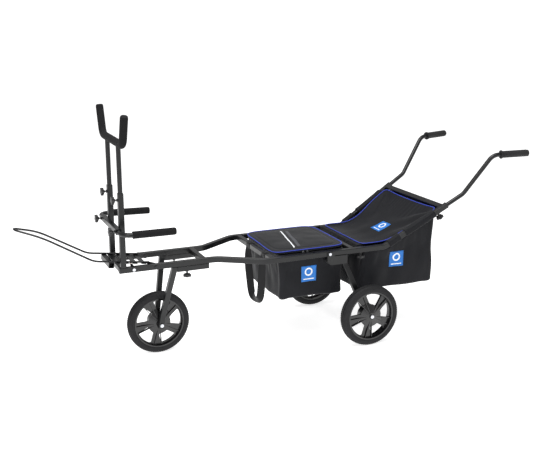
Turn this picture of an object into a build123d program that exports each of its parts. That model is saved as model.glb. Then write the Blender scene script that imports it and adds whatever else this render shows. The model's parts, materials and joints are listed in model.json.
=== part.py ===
from build123d import *
import os
from math import hypot

# A three-wheeled beach cart. X runs from the nose (-) to the push handles (+), Y from the user's left (-)
# to the right (+), Z up. The origin lies on the ground under the middle of the cart. Millimetres.

os.makedirs("parts", exist_ok=True)

SIDES = ((-1, "left"), (1, "right"))

# ---- Tube stock -------------------------------------------------------------------------------------------
tube_size = 25.0            # square tube, outside
tube_wall = 1.5
tube_corner = 3.0           # outside corner radius
slip_gap = 0.3              # side clearance of a square insert in a square tube
round_gap = 0.25            # clearance of a round tube in a square tube
round_wall = 1.5
weld_gap = 0.3              # side clearance of a bracket over a tube
touch_gap = 0.3             # clearance between soft pieces and their neighbours
cut_margin = 1.0            # how far a cutting tool runs past what it cuts

tube_half = tube_size / 2
tube_bore = tube_size - 2 * tube_wall
insert_size = tube_bore - 2 * slip_gap
insert_corner = tube_corner - tube_wall + 0.5
round_radius = tube_bore / 2 - round_gap

# ---- Main frame -------------------------------------------------------------------------------------------
rail_height = 454.5         # centre line of both side rails
rail_front_x = -787.0
rail_end_x = 480.0
front_half_width = 100.0
rear_half_width = 225.0
flare_start_x = -330.0
flare_end_x = -136.0
flare_radius = 90.0
rail_top = rail_height + tube_half
rail_bottom = rail_height - tube_half

front_bar_x = rail_front_x + tube_half
socket_bar_x = -391.0
strap_bar_x = -95.0
lid_bar_x = 319.0
bag_bar_x = 375.0

plug_head = 3.0
plug_shank = 14.0
plug_gap = 0.1

# ---- Clamping knobs ---------------------------------------------------------------------------------------
stud_radius = 3.0
stud_gap = 0.05             # radial clearance of the stud in its threaded boss
stud_tip_gap = 0.1          # between the stud's tip and the tube it clamps
boss_radius = 7.0
boss_height = 5.0
neck_start = 10.0           # distances from the tube's face
head_start = 17.0
head_thickness = 12.0
lobe_count = 5
lobe_radius = 6.5
web_extra = 2.0             # the head's middle disc, past its lobes' centres
head_chamfer = 1.5
neck_small_radius = 5.5
neck_large_radius = 9.0
knob_radius = 19.0

# ---- Uprights, yoke and arm rests -------------------------------------------------------------------------
post_x = -770.0
post_top = 805.0
post_knob_z = 776.0
yoke_tube_foot = 650.0
yoke_bar_z = 1026.0
yoke_corner_y = 182.0
yoke_tip_y = 226.0
yoke_tip_z = 1150.0
yoke_bend = 45.0
yoke_foam_radius = 17.5
foam_cap = 6.0

armrest_x = post_x - tube_size
armrest_z = 645.0
armrest_half = 150.0
armrest_knob_y = 131.0
arm_insert_y = 60.0
arm_corner_y = 222.0
arm_end = (-563.0, 212.0, 641.0)
arm_bend = 42.0
arm_foam_radius = 16.5
arm_foam_start = 44.0       # from the arm's corner to the front of its foam

# ---- Folding nose -----------------------------------------------------------------------------------------
nose_wire_radius = 4.5
nose_half_width = 72.0
nose_rear = (-644.0, 470.0)
nose_knee = (-893.0, 502.0)
nose_tip_x = -1258.6        # sharp corner of the tip, before its bend
nose_tip_z = 680.0
nose_front_half_width = 58.0
nose_front = (-1110.0, 631.0)
nose_bends = [120, 260, 24, 260, 120]
nose_pivot_x = -622.0
slat_width = 22.0
slat_thickness = 4.0
slat_first_x = -668.0
slat_pitch = 40.0
slat_count = 4
nose_bar_x = -815.0
lug_thickness = 4.0
lug_radius = 11.0
pivot_radius = 4.0
pivot_gap = 0.05
pivot_disc_radius = 9.0
stop_x = -728.0
stop_roller_radius = 6.0
stop_plate = 3.0
bolt_head_radius = 7.0
bolt_head_height = 4.0
stop_bolt_x = -725.0
stop_plate_edge = 2.0       # plate around the bolt's head
roller_past_wire = 2.0
pivot_bolt_head = 3.0       # thin heads of the stop and leg bolts, inside the frame

# ---- Wheels -----------------------------------------------------------------------------------------------
wheel_radius = 150.0
tyre_half_width = 26.0
tread_half_width = 19.0
shoulder_drop = 9.0
side_wall_radius = 136.0
bead_radius = 119.0
bead_half_width = 23.0
bead_gap = 0.1
bead_step = 4.0             # radial step from the bead to the tyre's side
tread_edge = 3.0            # axial reach of the rounded shoulder past the tread
shoulder_lift = 2.0
groove_width = 3.0
groove_depth = 4.0
groove_offset = 9.0
rim_wall = 6.0
hub_radius = 17.0
drum_radius = 50.0
drum_wall = 4.0
spoke_knee_radius = 70.0    # where the spokes bend from their cone to the flat outer part
spoke_rear = (6.0, 4.0, 1.0)    # axial places of the spokes' back: at the hub, the bend and the rim
spoke_front = (12.0, 9.0)       # and of their front: at the bend and the rim
hub_tube_end = 8.0
rib_front = 15.0            # the rib's front and back at the rim
rib_rear = 4.0
rib_sink = 1.0              # how far the ribs run into the hub
window_inner = 55.0
window_outer = 107.0
spoke_count = 5
window_angle = 44.0
window_skew = 9.0
window_corner = 6.0
spoke_rib_angle = 9.0
spoke_rib = 3.0
hub_inner_face = -28.0      # axial places on the wheel, positive towards its outer side
hub_outer_face = 26.0
bush_radius = 8.0
bush_flange_radius = 12.0
bush_flange = 2.0
bush_length = 16.0
axle_radius = 5.0
axle_gap = 0.05
axle_head_radius = 9.0
axle_head_height = 7.0
axle_thread_out = 3.0       # threaded end past the nut
spacer_radius = 9.0
spot_radius = 11.0
spot_depth = 6.0

# ---- Front fork -------------------------------------------------------------------------------------------
front_axle_x = -590.0
socket_front_x = -521.0
socket_rear_x = -370.0
fork_insert_rear_x = -400.0
fork_knob_x = -474.0
fork_top_x = -536.0
fork_top_gap = 1.0
fork_knee_z = 430.0
fork_low_knee = (-580.0, 200.0)
fork_foot_below = 15.0      # leg below the axle
fork_bend = 60.0
fork_axle_half = 45.0       # leg centre line beside the wheel
washer_gap = 0.2

# ---- Folding rear legs ------------------------------------------------------------------------------------
rear_axle_x = 368.6
rear_wheel_y = 314.5
leg_pivot_x = 190.0
leg_size = tube_size + 2 * weld_gap
leg_top_x = 268.0
leg_knee = (273.0, 400.0)
leg_low_knee_z = 190.0
leg_foot_below = 17.0
leg_bend = 55.0
leg_axle_half = 269.5
ear_thickness = 3.0
ear_front_x = 177.0
ear_rear_x = 284.0
ear_top_rise = 8.0          # ear above the pivot
ear_top_length = 16.0       # level top behind the pivot, then a short slope
ear_slope = 10.0
ear_cut = 19.0              # sloped front bottom corner
ear_corner = 5.0
web_setback = 33.0          # keeps the web clear of the rail when the leg is folded
channel_bottom = 399.0
leg_stop_gap = 0.3

# ---- Back frame, handles and grips ------------------------------------------------------------------------
spigot_front_x = 310.0
rear_knob_x = 364.0
back_start_gap = 0.5
back_corner_x = 495.0
back_bend = 48.0
back_end = (817.0, 268.0, 643.0)
back_solid_length = 50.0    # of the slanted part, before its bore starts
top_bar_back = 26.0         # along the tube, from its open end to the cross tube's centre
handle_knob_back = 60.0
handle_insert = 150.0
handle_knee_out = 99.0
handle_top = (1037.0, 320.0, 884.0)
handle_end = (1213.4, 358.0, 888.0)
handle_bends = [60, 60]
grip_length = 142.0
grip_radius = 16.5
grip_flange_radius = 21.0
grip_flange = 5.0
grip_end_cap = 4.0
axle_end_fillet = 2.0

# ---- Soft goods -------------------------------------------------------------------------------------------
cloth = 3.0
basket_front_x = -58.0
basket_rear_x = 282.0
basket_half_width = 202.0
basket_bottom = 236.0
basket_corner = 30.0
basket_bottom_bend = 20.0
hem_front_x = -76.0
hem_height = 24.0
lid_gap = 0.4               # the lid lies on the hem, just above the rails
hem_top = rail_top + lid_gap - touch_gap
hem_head_gap = 0.5          # between the hem and the leg bolts' heads
lid_front_x = -76.0
lid_rear_x = 300.0
lid_half_width = 197.0
lid_thickness = 20.0
lid_corner = 45.0
lid_edge = 6.0              # rounding of the lid's top edge
strap_thickness = 2.2
strap_width = 38.0
strap_left_y = -130.0
strap_right_y = 60.0
strap_bottom = 192.0
strap_lean = 40.0           # how far each leg leans inwards on its way down
strap_bend = 30.0
sleeve_thickness = 4.0
sleeve_gap = 0.2
sleeve_spans = ((24.0, 92.0), (122.0, 300.0))
bar_sleeve_half = 200.0
bag_front_low_x = 352.0
bag_rear_low_x = 788.0
bag_rear_high_x = 782.0
bag_bottom = 234.0
bag_front_half_width = 198.0
bag_half_width = 230.0
bag_flare = (402.0, 440.0)
bag_side_step = 4.0         # between the bag's top edge and the sleeves
bag_bar_gap = 1.6
cover_front_x = bag_bar_x + 3.0     # its front edge lies on the bar's sleeve
cover_sag = 42.0
cover_half_width = 193.0
cover_swing_gap = 4.0       # between the cover's rear edge and the top bar


# ---- Helpers ----------------------------------------------------------------------------------------------
def square_profile(outside, wall=tube_wall, corner=tube_corner):
    """Section of a square tube, or of a solid bar where the wall is None."""
    with BuildSketch(mode=Mode.PRIVATE) as profile:
        RectangleRounded(outside, outside, corner)
        if wall is not None:
            RectangleRounded(outside - 2 * wall, outside - 2 * wall, corner - wall, mode=Mode.SUBTRACT)
    return profile.sketch


def round_profile(radius, wall=None):
    with BuildSketch(mode=Mode.PRIVATE) as profile:
        Circle(radius)
        if wall is not None:
            Circle(radius - wall, mode=Mode.SUBTRACT)
    return profile.sketch


def swept(points, radii, profile, width_dir):
    """The profile along straight runs joined by tangent arcs; width_dir is the profile's own X."""
    with BuildPart(mode=Mode.PRIVATE) as run:
        with BuildLine() as route:
            if radii:
                FilletPolyline(*points, radius=radii)
            else:
                Polyline(*points)
        with BuildSketch(Plane(origin=route.line @ 0, x_dir=width_dir, z_dir=route.line % 0)):
            add(profile)
        sweep()
    return run.part


def rod_between(start, end, radius):
    """A round solid from one point to another."""
    way = Vector(*end) - Vector(*start)
    with BuildPart(mode=Mode.PRIVATE) as rod:
        with BuildSketch(Plane(origin=start, z_dir=way)):
            Circle(radius)
        extrude(amount=way.length)
    return rod.part


def knob_plane(face_point, outward):
    """Local Z points away from the clamped tube's face."""
    return Plane(origin=face_point, z_dir=outward)


def threaded_boss(plane):
    """The nut welded to a tube's face; the stud's hole is cut through it and the wall."""
    with BuildPart(mode=Mode.PRIVATE) as boss:
        with BuildSketch(plane):
            Circle(boss_radius)
        extrude(amount=boss_height)
    return boss.part


def stud_hole(plane):
    with BuildPart(mode=Mode.PRIVATE) as hole:
        with BuildSketch(plane.offset(-tube_wall - cut_margin)):
            Circle(stud_radius + stud_gap)
        extrude(amount=tube_wall + boss_height + 2 * cut_margin)
    return hole.part


def clamp_knob(plane, clearance):
    """Lobed plastic head, tapered neck and steel stud. The stud ends just short of the inner tube."""
    tip = tube_wall + clearance - stud_tip_gap
    with BuildPart(mode=Mode.PRIVATE) as knob:
        with BuildSketch(plane.offset(head_start)):
            Circle(knob_radius - lobe_radius + web_extra)
            with PolarLocations(knob_radius - lobe_radius, lobe_count):
                Circle(lobe_radius)
        extrude(amount=head_thickness)
        outer_face = knob.faces().sort_by(Axis(plane.origin, plane.z_dir))[-1]
        chamfer(outer_face.edges(), head_chamfer)
        with BuildSketch(plane.offset(neck_start)):
            Circle(neck_small_radius)
        with BuildSketch(plane.offset(head_start)):
            Circle(neck_large_radius)
        loft()
        with BuildSketch(plane.offset(-tip)):
            Circle(stud_radius)
        extrude(amount=tip + head_start)
    return knob.part


# ---- Side rails and cross tubes ---------------------------------------------------------------------------
def rail_route(side):
    return [
        (rail_front_x, side * front_half_width, rail_height),
        (flare_start_x, side * front_half_width, rail_height),
        (flare_end_x, side * rear_half_width, rail_height),
        (rail_end_x, side * rear_half_width, rail_height),
    ]


nose_pivot_z = rail_height
rail_inner_y = front_half_width - tube_half
rail_outer_y = front_half_width + tube_half
for side, name in SIDES:
    knob_face = knob_plane((rear_knob_x, side * rear_half_width, rail_bottom), (0, 0, -1))
    with BuildPart() as rail:
        add(swept(rail_route(side), flare_radius, square_profile(tube_size), (0, 1, 0)))
        add(threaded_boss(knob_face))
        add(stud_hole(knob_face), mode=Mode.SUBTRACT)
        pivot_start = (nose_pivot_x, side * (rail_inner_y - cut_margin), nose_pivot_z)
        pivot_end = (nose_pivot_x, side * (rail_outer_y + cut_margin), nose_pivot_z)
        add(rod_between(pivot_start, pivot_end, pivot_radius + pivot_gap), mode=Mode.SUBTRACT)
        bolt_start = (stop_bolt_x, side * (rail_inner_y - cut_margin), rail_height)
        bolt_end = (stop_bolt_x, side * (rail_outer_y + cut_margin), rail_height)
        add(rod_between(bolt_start, bolt_end, pivot_radius + pivot_gap), mode=Mode.SUBTRACT)
        leg_bolt_start = (leg_pivot_x, side * (rear_half_width - tube_half - cut_margin), rail_height)
        leg_bolt_end = (leg_pivot_x, side * (rear_half_width + tube_half + cut_margin), rail_height)
        add(rod_between(leg_bolt_start, leg_bolt_end, pivot_radius + pivot_gap), mode=Mode.SUBTRACT)
    rail.part.label = f"{name}_side_rail"
    export_step(rail.part, f"parts/{name}_side_rail.step")


def cross_tubes(places, half_span):
    """Square tubes across the frame, flush with the rails and welded between them."""
    with BuildPart() as bars:
        for x in places:
            with BuildSketch(Plane(origin=(x, -half_span, rail_height), x_dir=(1, 0, 0), z_dir=(0, 1, 0))):
                add(square_profile(tube_size))
            extrude(amount=2 * half_span)
    return bars.part


with BuildPart() as front_crossbars:
    add(cross_tubes((front_bar_x, socket_bar_x), front_half_width - tube_half))
front_crossbars.part.label = "front_crossbars"
export_step(front_crossbars.part, "parts/front_crossbars.step")

with BuildPart() as rear_crossbars:
    add(cross_tubes((strap_bar_x, lid_bar_x, bag_bar_x), rear_half_width - tube_half))
rear_crossbars.part.label = "rear_crossbars"
export_step(rear_crossbars.part, "parts/rear_crossbars.step")

with BuildPart() as rail_end_plugs:
    for side, name in SIDES:
        rail_mouth = Plane(origin=(rail_front_x, side * front_half_width, rail_height),
                           x_dir=(0, 1, 0), z_dir=(-1, 0, 0))
        with BuildSketch(rail_mouth):
            RectangleRounded(tube_size, tube_size, tube_corner)
        extrude(amount=plug_head)
        with BuildSketch(rail_mouth):
            plug_size = tube_bore - 2 * plug_gap
            RectangleRounded(plug_size, plug_size, tube_corner - tube_wall)
        extrude(amount=-plug_shank)
rail_end_plugs.part.label = "rail_end_plugs"
export_step(rail_end_plugs.part, "parts/rail_end_plugs.step")

# ---- Fork sockets under the front rails -------------------------------------------------------------------
socket_height = rail_bottom - tube_half
socket_bottom = rail_bottom - tube_size
with BuildPart() as fork_sockets:
    for side, name in SIDES:
        start = (socket_front_x, side * front_half_width, socket_height)
        with BuildSketch(Plane(origin=start, x_dir=(0, 1, 0), z_dir=(1, 0, 0))):
            add(square_profile(tube_size))
        extrude(amount=socket_rear_x - socket_front_x)
    for side, name in SIDES:
        knob_face = knob_plane((fork_knob_x, side * front_half_width, socket_bottom), (0, 0, -1))
        add(threaded_boss(knob_face))
        add(stud_hole(knob_face), mode=Mode.SUBTRACT)
fork_sockets.part.label = "fork_sockets"
export_step(fork_sockets.part, "parts/fork_sockets.step")

# ---- Uprights ---------------------------------------------------------------------------------------------
for side, name in SIDES:
    knob_face = knob_plane((post_x - tube_half, side * front_half_width, post_knob_z), (-1, 0, 0))
    with BuildPart() as post:
        foot = Plane(origin=(post_x, side * front_half_width, rail_top), x_dir=(1, 0, 0), z_dir=(0, 0, 1))
        with BuildSketch(foot):
            add(square_profile(tube_size))
        extrude(amount=post_top - rail_top)
        add(threaded_boss(knob_face))
        add(stud_hole(knob_face), mode=Mode.SUBTRACT)
    post.part.label = f"{name}_post"
    export_step(post.part, f"parts/{name}_post.step")

with BuildPart() as armrest_crossbar:
    with BuildSketch(Plane(origin=(armrest_x, -armrest_half, armrest_z), x_dir=(1, 0, 0), z_dir=(0, 1, 0))):
        add(square_profile(tube_size))
    extrude(amount=2 * armrest_half)
    for side, name in SIDES:
        knob_face = knob_plane((armrest_x - tube_half, side * armrest_knob_y, armrest_z), (-1, 0, 0))
        add(threaded_boss(knob_face))
        add(stud_hole(knob_face), mode=Mode.SUBTRACT)
armrest_crossbar.part.label = "armrest_crossbar"
export_step(armrest_crossbar.part, "parts/armrest_crossbar.step")

# ---- Yoke: two inner tubes carrying a padded U ------------------------------------------------------------
yoke_route = [
    (post_x, -yoke_tip_y, yoke_tip_z),
    (post_x, -yoke_corner_y, yoke_bar_z),
    (post_x, yoke_corner_y, yoke_bar_z),
    (post_x, yoke_tip_y, yoke_tip_z),
]


def yoke_rods(radius, foot):
    with BuildPart() as rods:
        add(swept(yoke_route, yoke_bend, round_profile(radius), (1, 0, 0)))
        for side, name in SIDES:
            y = side * front_half_width
            add(rod_between((post_x, y, foot), (post_x, y, yoke_bar_z), radius))
    return rods.part


with BuildPart() as yoke_tube:
    add(yoke_rods(round_radius, yoke_tube_foot))
    add(yoke_rods(round_radius - round_wall, yoke_tube_foot - 1), mode=Mode.SUBTRACT)
yoke_tube.part.label = "yoke_tube"
export_step(yoke_tube.part, "parts/yoke_tube.step")

with BuildPart() as yoke_foam:
    add(swept(yoke_route, yoke_bend, round_profile(yoke_foam_radius), (1, 0, 0)))
    for side, name in SIDES:
        tip = Vector(post_x, side * yoke_tip_y, yoke_tip_z)
        corner = Vector(post_x, side * yoke_corner_y, yoke_bar_z)
        with BuildSketch(Plane(origin=tip, z_dir=tip - corner)):
            Circle(yoke_foam_radius)
        extrude(amount=foam_cap, taper=20)
    add(yoke_rods(round_radius, yoke_tube_foot), mode=Mode.SUBTRACT)
yoke_foam.part.label = "yoke_foam"
export_step(yoke_foam.part, "parts/yoke_foam.step")

# ---- Telescoping arms -------------------------------------------------------------------------------------
for side, name in SIDES:
    arm_corner = (armrest_x, side * arm_corner_y, armrest_z)
    arm_tip = (arm_end[0], side * arm_end[1], arm_end[2])
    arm_route = [(armrest_x, side * arm_insert_y, armrest_z), arm_corner, arm_tip]
    with BuildPart() as arm:
        add(swept(arm_route, arm_bend, round_profile(round_radius, round_wall), (0, 0, 1)))
    arm.part.label = f"{name}_arm"
    export_step(arm.part, f"parts/{name}_arm.step")

    arm_way = Vector(*arm_tip) - Vector(*arm_corner)
    foam_front = Vector(*arm_corner) + arm_way.normalized() * arm_foam_start
    foam_length = arm_way.length - arm_foam_start
    with BuildPart() as arm_foam:
        with BuildSketch(Plane(origin=foam_front, z_dir=arm_way)):
            Circle(arm_foam_radius)
            Circle(round_radius, mode=Mode.SUBTRACT)
        extrude(amount=foam_length)
        with BuildSketch(Plane(origin=arm_tip, z_dir=arm_way)):
            Circle(arm_foam_radius)
        extrude(amount=foam_cap, taper=20)
    arm_foam.part.label = f"{name}_arm_foam"
    export_step(arm_foam.part, f"parts/{name}_arm_foam.step")

# ---- Folding nose -----------------------------------------------------------------------------------------
nose_slope = (nose_knee[1] - nose_rear[1]) / (nose_knee[0] - nose_rear[0])


def nose_wire_z(x):
    """Height of the wire's centre line over its straight rear stretch."""
    return nose_rear[1] + nose_slope * (x - nose_rear[0])


with BuildPart() as nose_wire:
    left_half = [
        (nose_rear[0], -nose_half_width, nose_rear[1]),
        (nose_knee[0], -nose_half_width, nose_knee[1]),
        (nose_front[0], -nose_front_half_width, nose_front[1]),
    ]
    right_half = [(x, -y, z) for x, y, z in reversed(left_half)]
    add(swept(left_half + [(nose_tip_x, 0, nose_tip_z)] + right_half, nose_bends,
              round_profile(nose_wire_radius), (0, 1, 0)))
nose_wire.part.label = "nose_wire"
export_step(nose_wire.part, "parts/nose_wire.step")


def nose_bar_plane(x, drop):
    """Plane under the wires at a place along them, its X along the wires and its Z square to them."""
    slope_dir = Vector(1, 0, nose_slope).normalized()
    up = Vector(-nose_slope, 0, 1).normalized()
    return Plane(origin=Vector(x, 0, nose_wire_z(x)) - up * (nose_wire_radius + drop),
                 x_dir=slope_dir, z_dir=up)


with BuildPart() as nose_tray:
    bar_half_length = nose_half_width + nose_wire_radius
    for index in range(slat_count):
        slat = nose_bar_plane(slat_first_x - index * slat_pitch, slat_thickness)
        with BuildSketch(slat):
            Rectangle(slat_width, 2 * bar_half_length)
        extrude(amount=slat_thickness)
    front_bar = nose_bar_plane(nose_bar_x, tube_half)
    with BuildSketch(Plane(origin=front_bar.origin - Vector(0, bar_half_length, 0),
                           x_dir=front_bar.x_dir, z_dir=(0, 1, 0))):
        add(square_profile(tube_size))
    extrude(amount=2 * bar_half_length)
    for side, name in SIDES:
        lug_face = Plane(origin=(0, side * (nose_half_width + nose_wire_radius), 0),
                         x_dir=(1, 0, 0), z_dir=(0, -1, 0))
        with BuildSketch(lug_face) as lug_outline:
            with Locations((nose_pivot_x, nose_pivot_z)):
                Circle(lug_radius)
            with Locations((nose_rear[0] - lug_radius, nose_wire_z(nose_rear[0] - lug_radius))):
                Circle(lug_radius / 2)
            make_hull()
            with Locations((nose_pivot_x, nose_pivot_z)):
                Circle(pivot_radius + pivot_gap, mode=Mode.SUBTRACT)
        extrude(amount=-side * lug_thickness)
nose_tray.part.label = "nose_tray"
export_step(nose_tray.part, "parts/nose_tray.step")

lug_outer_y = nose_half_width + nose_wire_radius + lug_thickness
# A bolted plate on each rail's inner face holds the white roller that the nose wire rests on.
stop_roller_z = nose_wire_z(stop_x) - (nose_wire_radius + stop_roller_radius) * hypot(1, nose_slope)
stop_face_y = rail_inner_y - stop_plate
with BuildPart() as nose_stop_plates:
    for side, name in SIDES:
        with BuildSketch(Plane(origin=(0, side * rail_inner_y, 0), x_dir=(1, 0, 0), z_dir=(0, -1, 0))):
            with Locations((stop_bolt_x, rail_height)):
                Circle(bolt_head_radius + stop_plate_edge)
            with Locations((stop_x, stop_roller_z)):
                Circle(stop_roller_radius)
            make_hull()
            with Locations((stop_bolt_x, rail_height)):
                Circle(pivot_radius + pivot_gap, mode=Mode.SUBTRACT)
        extrude(amount=side * stop_plate)
nose_stop_plates.part.label = "nose_stop_plates"
export_step(nose_stop_plates.part, "parts/nose_stop_plates.step")

with BuildPart() as nose_stop_rollers:
    for side, name in SIDES:
        roller_end_y = nose_half_width - nose_wire_radius - roller_past_wire
        add(rod_between((stop_x, side * stop_face_y, stop_roller_z),
                        (stop_x, side * roller_end_y, stop_roller_z), stop_roller_radius))
nose_stop_rollers.part.label = "nose_stop_rollers"
export_step(nose_stop_rollers.part, "parts/nose_stop_rollers.step")

# ---- Bolts through the rails: nose stops and rear leg pivots ----------------------------------------------
ear_inner_y = rear_half_width - tube_half - weld_gap - ear_thickness
ear_outer_y = rear_half_width + tube_half + weld_gap + ear_thickness
with BuildPart() as rail_bolts:
    for side, name in SIDES:
        inner_end = (nose_pivot_x, side * (nose_half_width + nose_wire_radius - touch_gap), nose_pivot_z)
        outer_end = (nose_pivot_x, side * rail_outer_y, nose_pivot_z)
        add(rod_between(inner_end, outer_end, pivot_radius))
        head_end = (nose_pivot_x, inner_end[1] - side * bolt_head_height, nose_pivot_z)
        add(rod_between(inner_end, head_end, bolt_head_radius))
        cap_end = (nose_pivot_x, outer_end[1] + side * bolt_head_height, nose_pivot_z)
        add(rod_between(outer_end, cap_end, bolt_head_radius))
        disc_start = (nose_pivot_x, side * (lug_outer_y + touch_gap), nose_pivot_z)
        disc_end = (nose_pivot_x, side * rail_inner_y, nose_pivot_z)
        add(rod_between(disc_start, disc_end, pivot_disc_radius))
    for side, name in SIDES:
        for x, inner_y, outer_y in (
            (stop_bolt_x, stop_face_y, rail_outer_y),
            (leg_pivot_x, ear_inner_y - touch_gap, ear_outer_y + touch_gap),
        ):
            add(rod_between((x, side * inner_y, rail_height), (x, side * outer_y, rail_height), pivot_radius))
            add(rod_between((x, side * inner_y, rail_height),
                            (x, side * (inner_y - pivot_bolt_head), rail_height), bolt_head_radius))
            add(rod_between((x, side * outer_y, rail_height),
                            (x, side * (outer_y + bolt_head_height), rail_height), bolt_head_radius))
rail_bolts.part.label = "rail_bolts"
export_step(rail_bolts.part, "parts/rail_bolts.step")


# ---- Wheels -----------------------------------------------------------------------------------------------
def wheel_parts(centre, outer):
    """Tyre, rim and bushes of one wheel; outer is +1 or -1, the way its spoked face looks along Y."""
    section = Plane(origin=centre, x_dir=(0, outer, 0), z_dir=(outer, 0, 0))
    face = Plane(origin=centre, x_dir=(1, 0, 0), z_dir=(0, outer, 0))
    axis = Axis(centre, (0, 1, 0))
    shoulder_z = wheel_radius - shoulder_drop + shoulder_lift
    tread_edge_y = tread_half_width + tread_edge
    bore_reach = Vector(0, hub_outer_face - hub_inner_face, 0)
    with BuildPart() as tyre:
        with BuildSketch(section):
            with BuildLine():
                Polyline((tread_edge_y, shoulder_z), (tyre_half_width, side_wall_radius),
                         (tyre_half_width, bead_radius + bead_step), (bead_half_width, bead_radius + bead_gap),
                         (-bead_half_width, bead_radius + bead_gap), (-tyre_half_width, bead_radius + bead_step),
                         (-tyre_half_width, side_wall_radius), (-tread_edge_y, shoulder_z))
                ThreePointArc((-tread_edge_y, shoulder_z), (0, wheel_radius), (tread_edge_y, shoulder_z))
            make_face()
            with Locations((-groove_offset, wheel_radius), (groove_offset, wheel_radius)):
                Rectangle(groove_width, 2 * groove_depth, mode=Mode.SUBTRACT)
        revolve(axis=axis)

    rim_radius = bead_radius - rim_wall / 2
    with BuildPart() as rim:
        with BuildSketch(section):
            with BuildLine():
                Polyline((hub_outer_face, bush_radius), (hub_outer_face, hub_radius),
                         (spoke_front[0], spoke_knee_radius), (spoke_front[1], rim_radius),
                         (spoke_rear[2], rim_radius), (spoke_rear[1], spoke_knee_radius),
                         (spoke_rear[0], hub_radius), (spoke_rear[0], bush_radius), close=True)
            make_face()
        revolve(axis=axis)
        with BuildSketch(face.offset(hub_inner_face - cut_margin)) as windows:
            for index in range(spoke_count):
                turn = 360 / spoke_count * index
                half = window_angle / 2
                first = Vector(window_inner, 0).rotate(Axis.Z, turn - half)
                second = Vector(window_outer, 0).rotate(Axis.Z, turn - half + window_skew)
                third = Vector(window_outer, 0).rotate(Axis.Z, turn + half + window_skew)
                fourth = Vector(window_inner, 0).rotate(Axis.Z, turn + half)
                with BuildLine():
                    Line(first, second)
                    ThreePointArc(second, Vector(window_outer, 0).rotate(Axis.Z, turn + window_skew), third)
                    Line(third, fourth)
                    ThreePointArc(fourth, Vector(window_inner, 0).rotate(Axis.Z, turn), first)
                make_face()
            fillet(windows.vertices(), window_corner)
        extrude(amount=hub_outer_face - hub_inner_face + 2 * cut_margin, mode=Mode.SUBTRACT)
        with BuildSketch(section):
            # barrel with its two bead flanges, then the hub tube and the drum behind the spokes
            with Locations((0, rim_radius)):
                Rectangle(2 * bead_half_width, rim_wall)
            with Locations(((hub_inner_face + hub_tube_end) / 2, (bush_radius + hub_radius) / 2)):
                Rectangle(hub_tube_end - hub_inner_face, hub_radius - bush_radius)
            with Locations(((hub_inner_face + hub_tube_end) / 2, drum_radius - drum_wall / 2)):
                Rectangle(hub_tube_end - hub_inner_face, drum_wall)
            with Locations((hub_inner_face + drum_wall / 2, (hub_radius + drum_radius) / 2)):
                Rectangle(drum_wall, drum_radius - hub_radius)
        revolve(axis=axis)
        for index in range(spoke_count):
            middle = 360 / spoke_count * (index + 0.5)
            for offset in (-spoke_rib_angle, spoke_rib_angle):
                turn = middle + offset + window_skew / 2
                rib = Plane(origin=centre, x_dir=(0, outer, 0),
                            z_dir=Vector(outer, 0, 0).rotate(Axis((0, 0, 0), (0, 1, 0)), turn))
                with BuildSketch(rib):
                    Polygon((hub_outer_face - rib_sink, hub_radius - 2 * rib_sink), (rib_front, rim_radius),
                            (rib_rear, rim_radius), (hub_tube_end, hub_radius - 2 * rib_sink), align=None)
                extrude(amount=spoke_rib / 2, both=True)
        add(rod_between(Vector(*centre) - bore_reach, Vector(*centre) + bore_reach, bush_radius),
            mode=Mode.SUBTRACT)

    with BuildPart() as bushes:
        for end, outward in ((hub_inner_face, -1), (hub_outer_face, 1)):
            mouth = face.offset(end)
            with BuildSketch(mouth):
                Circle(bush_flange_radius)
            extrude(amount=outward * bush_flange)
            with BuildSketch(mouth):
                Circle(bush_radius - bead_gap)
            extrude(amount=-outward * bush_length)
        add(rod_between(Vector(*centre) - bore_reach, Vector(*centre) + bore_reach,
                        axle_radius + axle_gap), mode=Mode.SUBTRACT)
    return tyre.part, rim.part, bushes.part


WHEELS = (
    ("front", (front_axle_x, 0, wheel_radius), -1),
    ("left", (rear_axle_x, -rear_wheel_y, wheel_radius), -1),
    ("right", (rear_axle_x, rear_wheel_y, wheel_radius), 1),
)
for name, centre, outer in WHEELS:
    tyre, rim, bushes = wheel_parts(centre, outer)
    tyre.label = f"{name}_tyre"
    export_step(tyre, f"parts/{name}_tyre.step")
    rim.label = f"{name}_rim"
    export_step(rim, f"parts/{name}_rim.step")
    bushes.label = f"{name}_wheel_bushes"
    export_step(bushes, f"parts/{name}_wheel_bushes.step")

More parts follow.
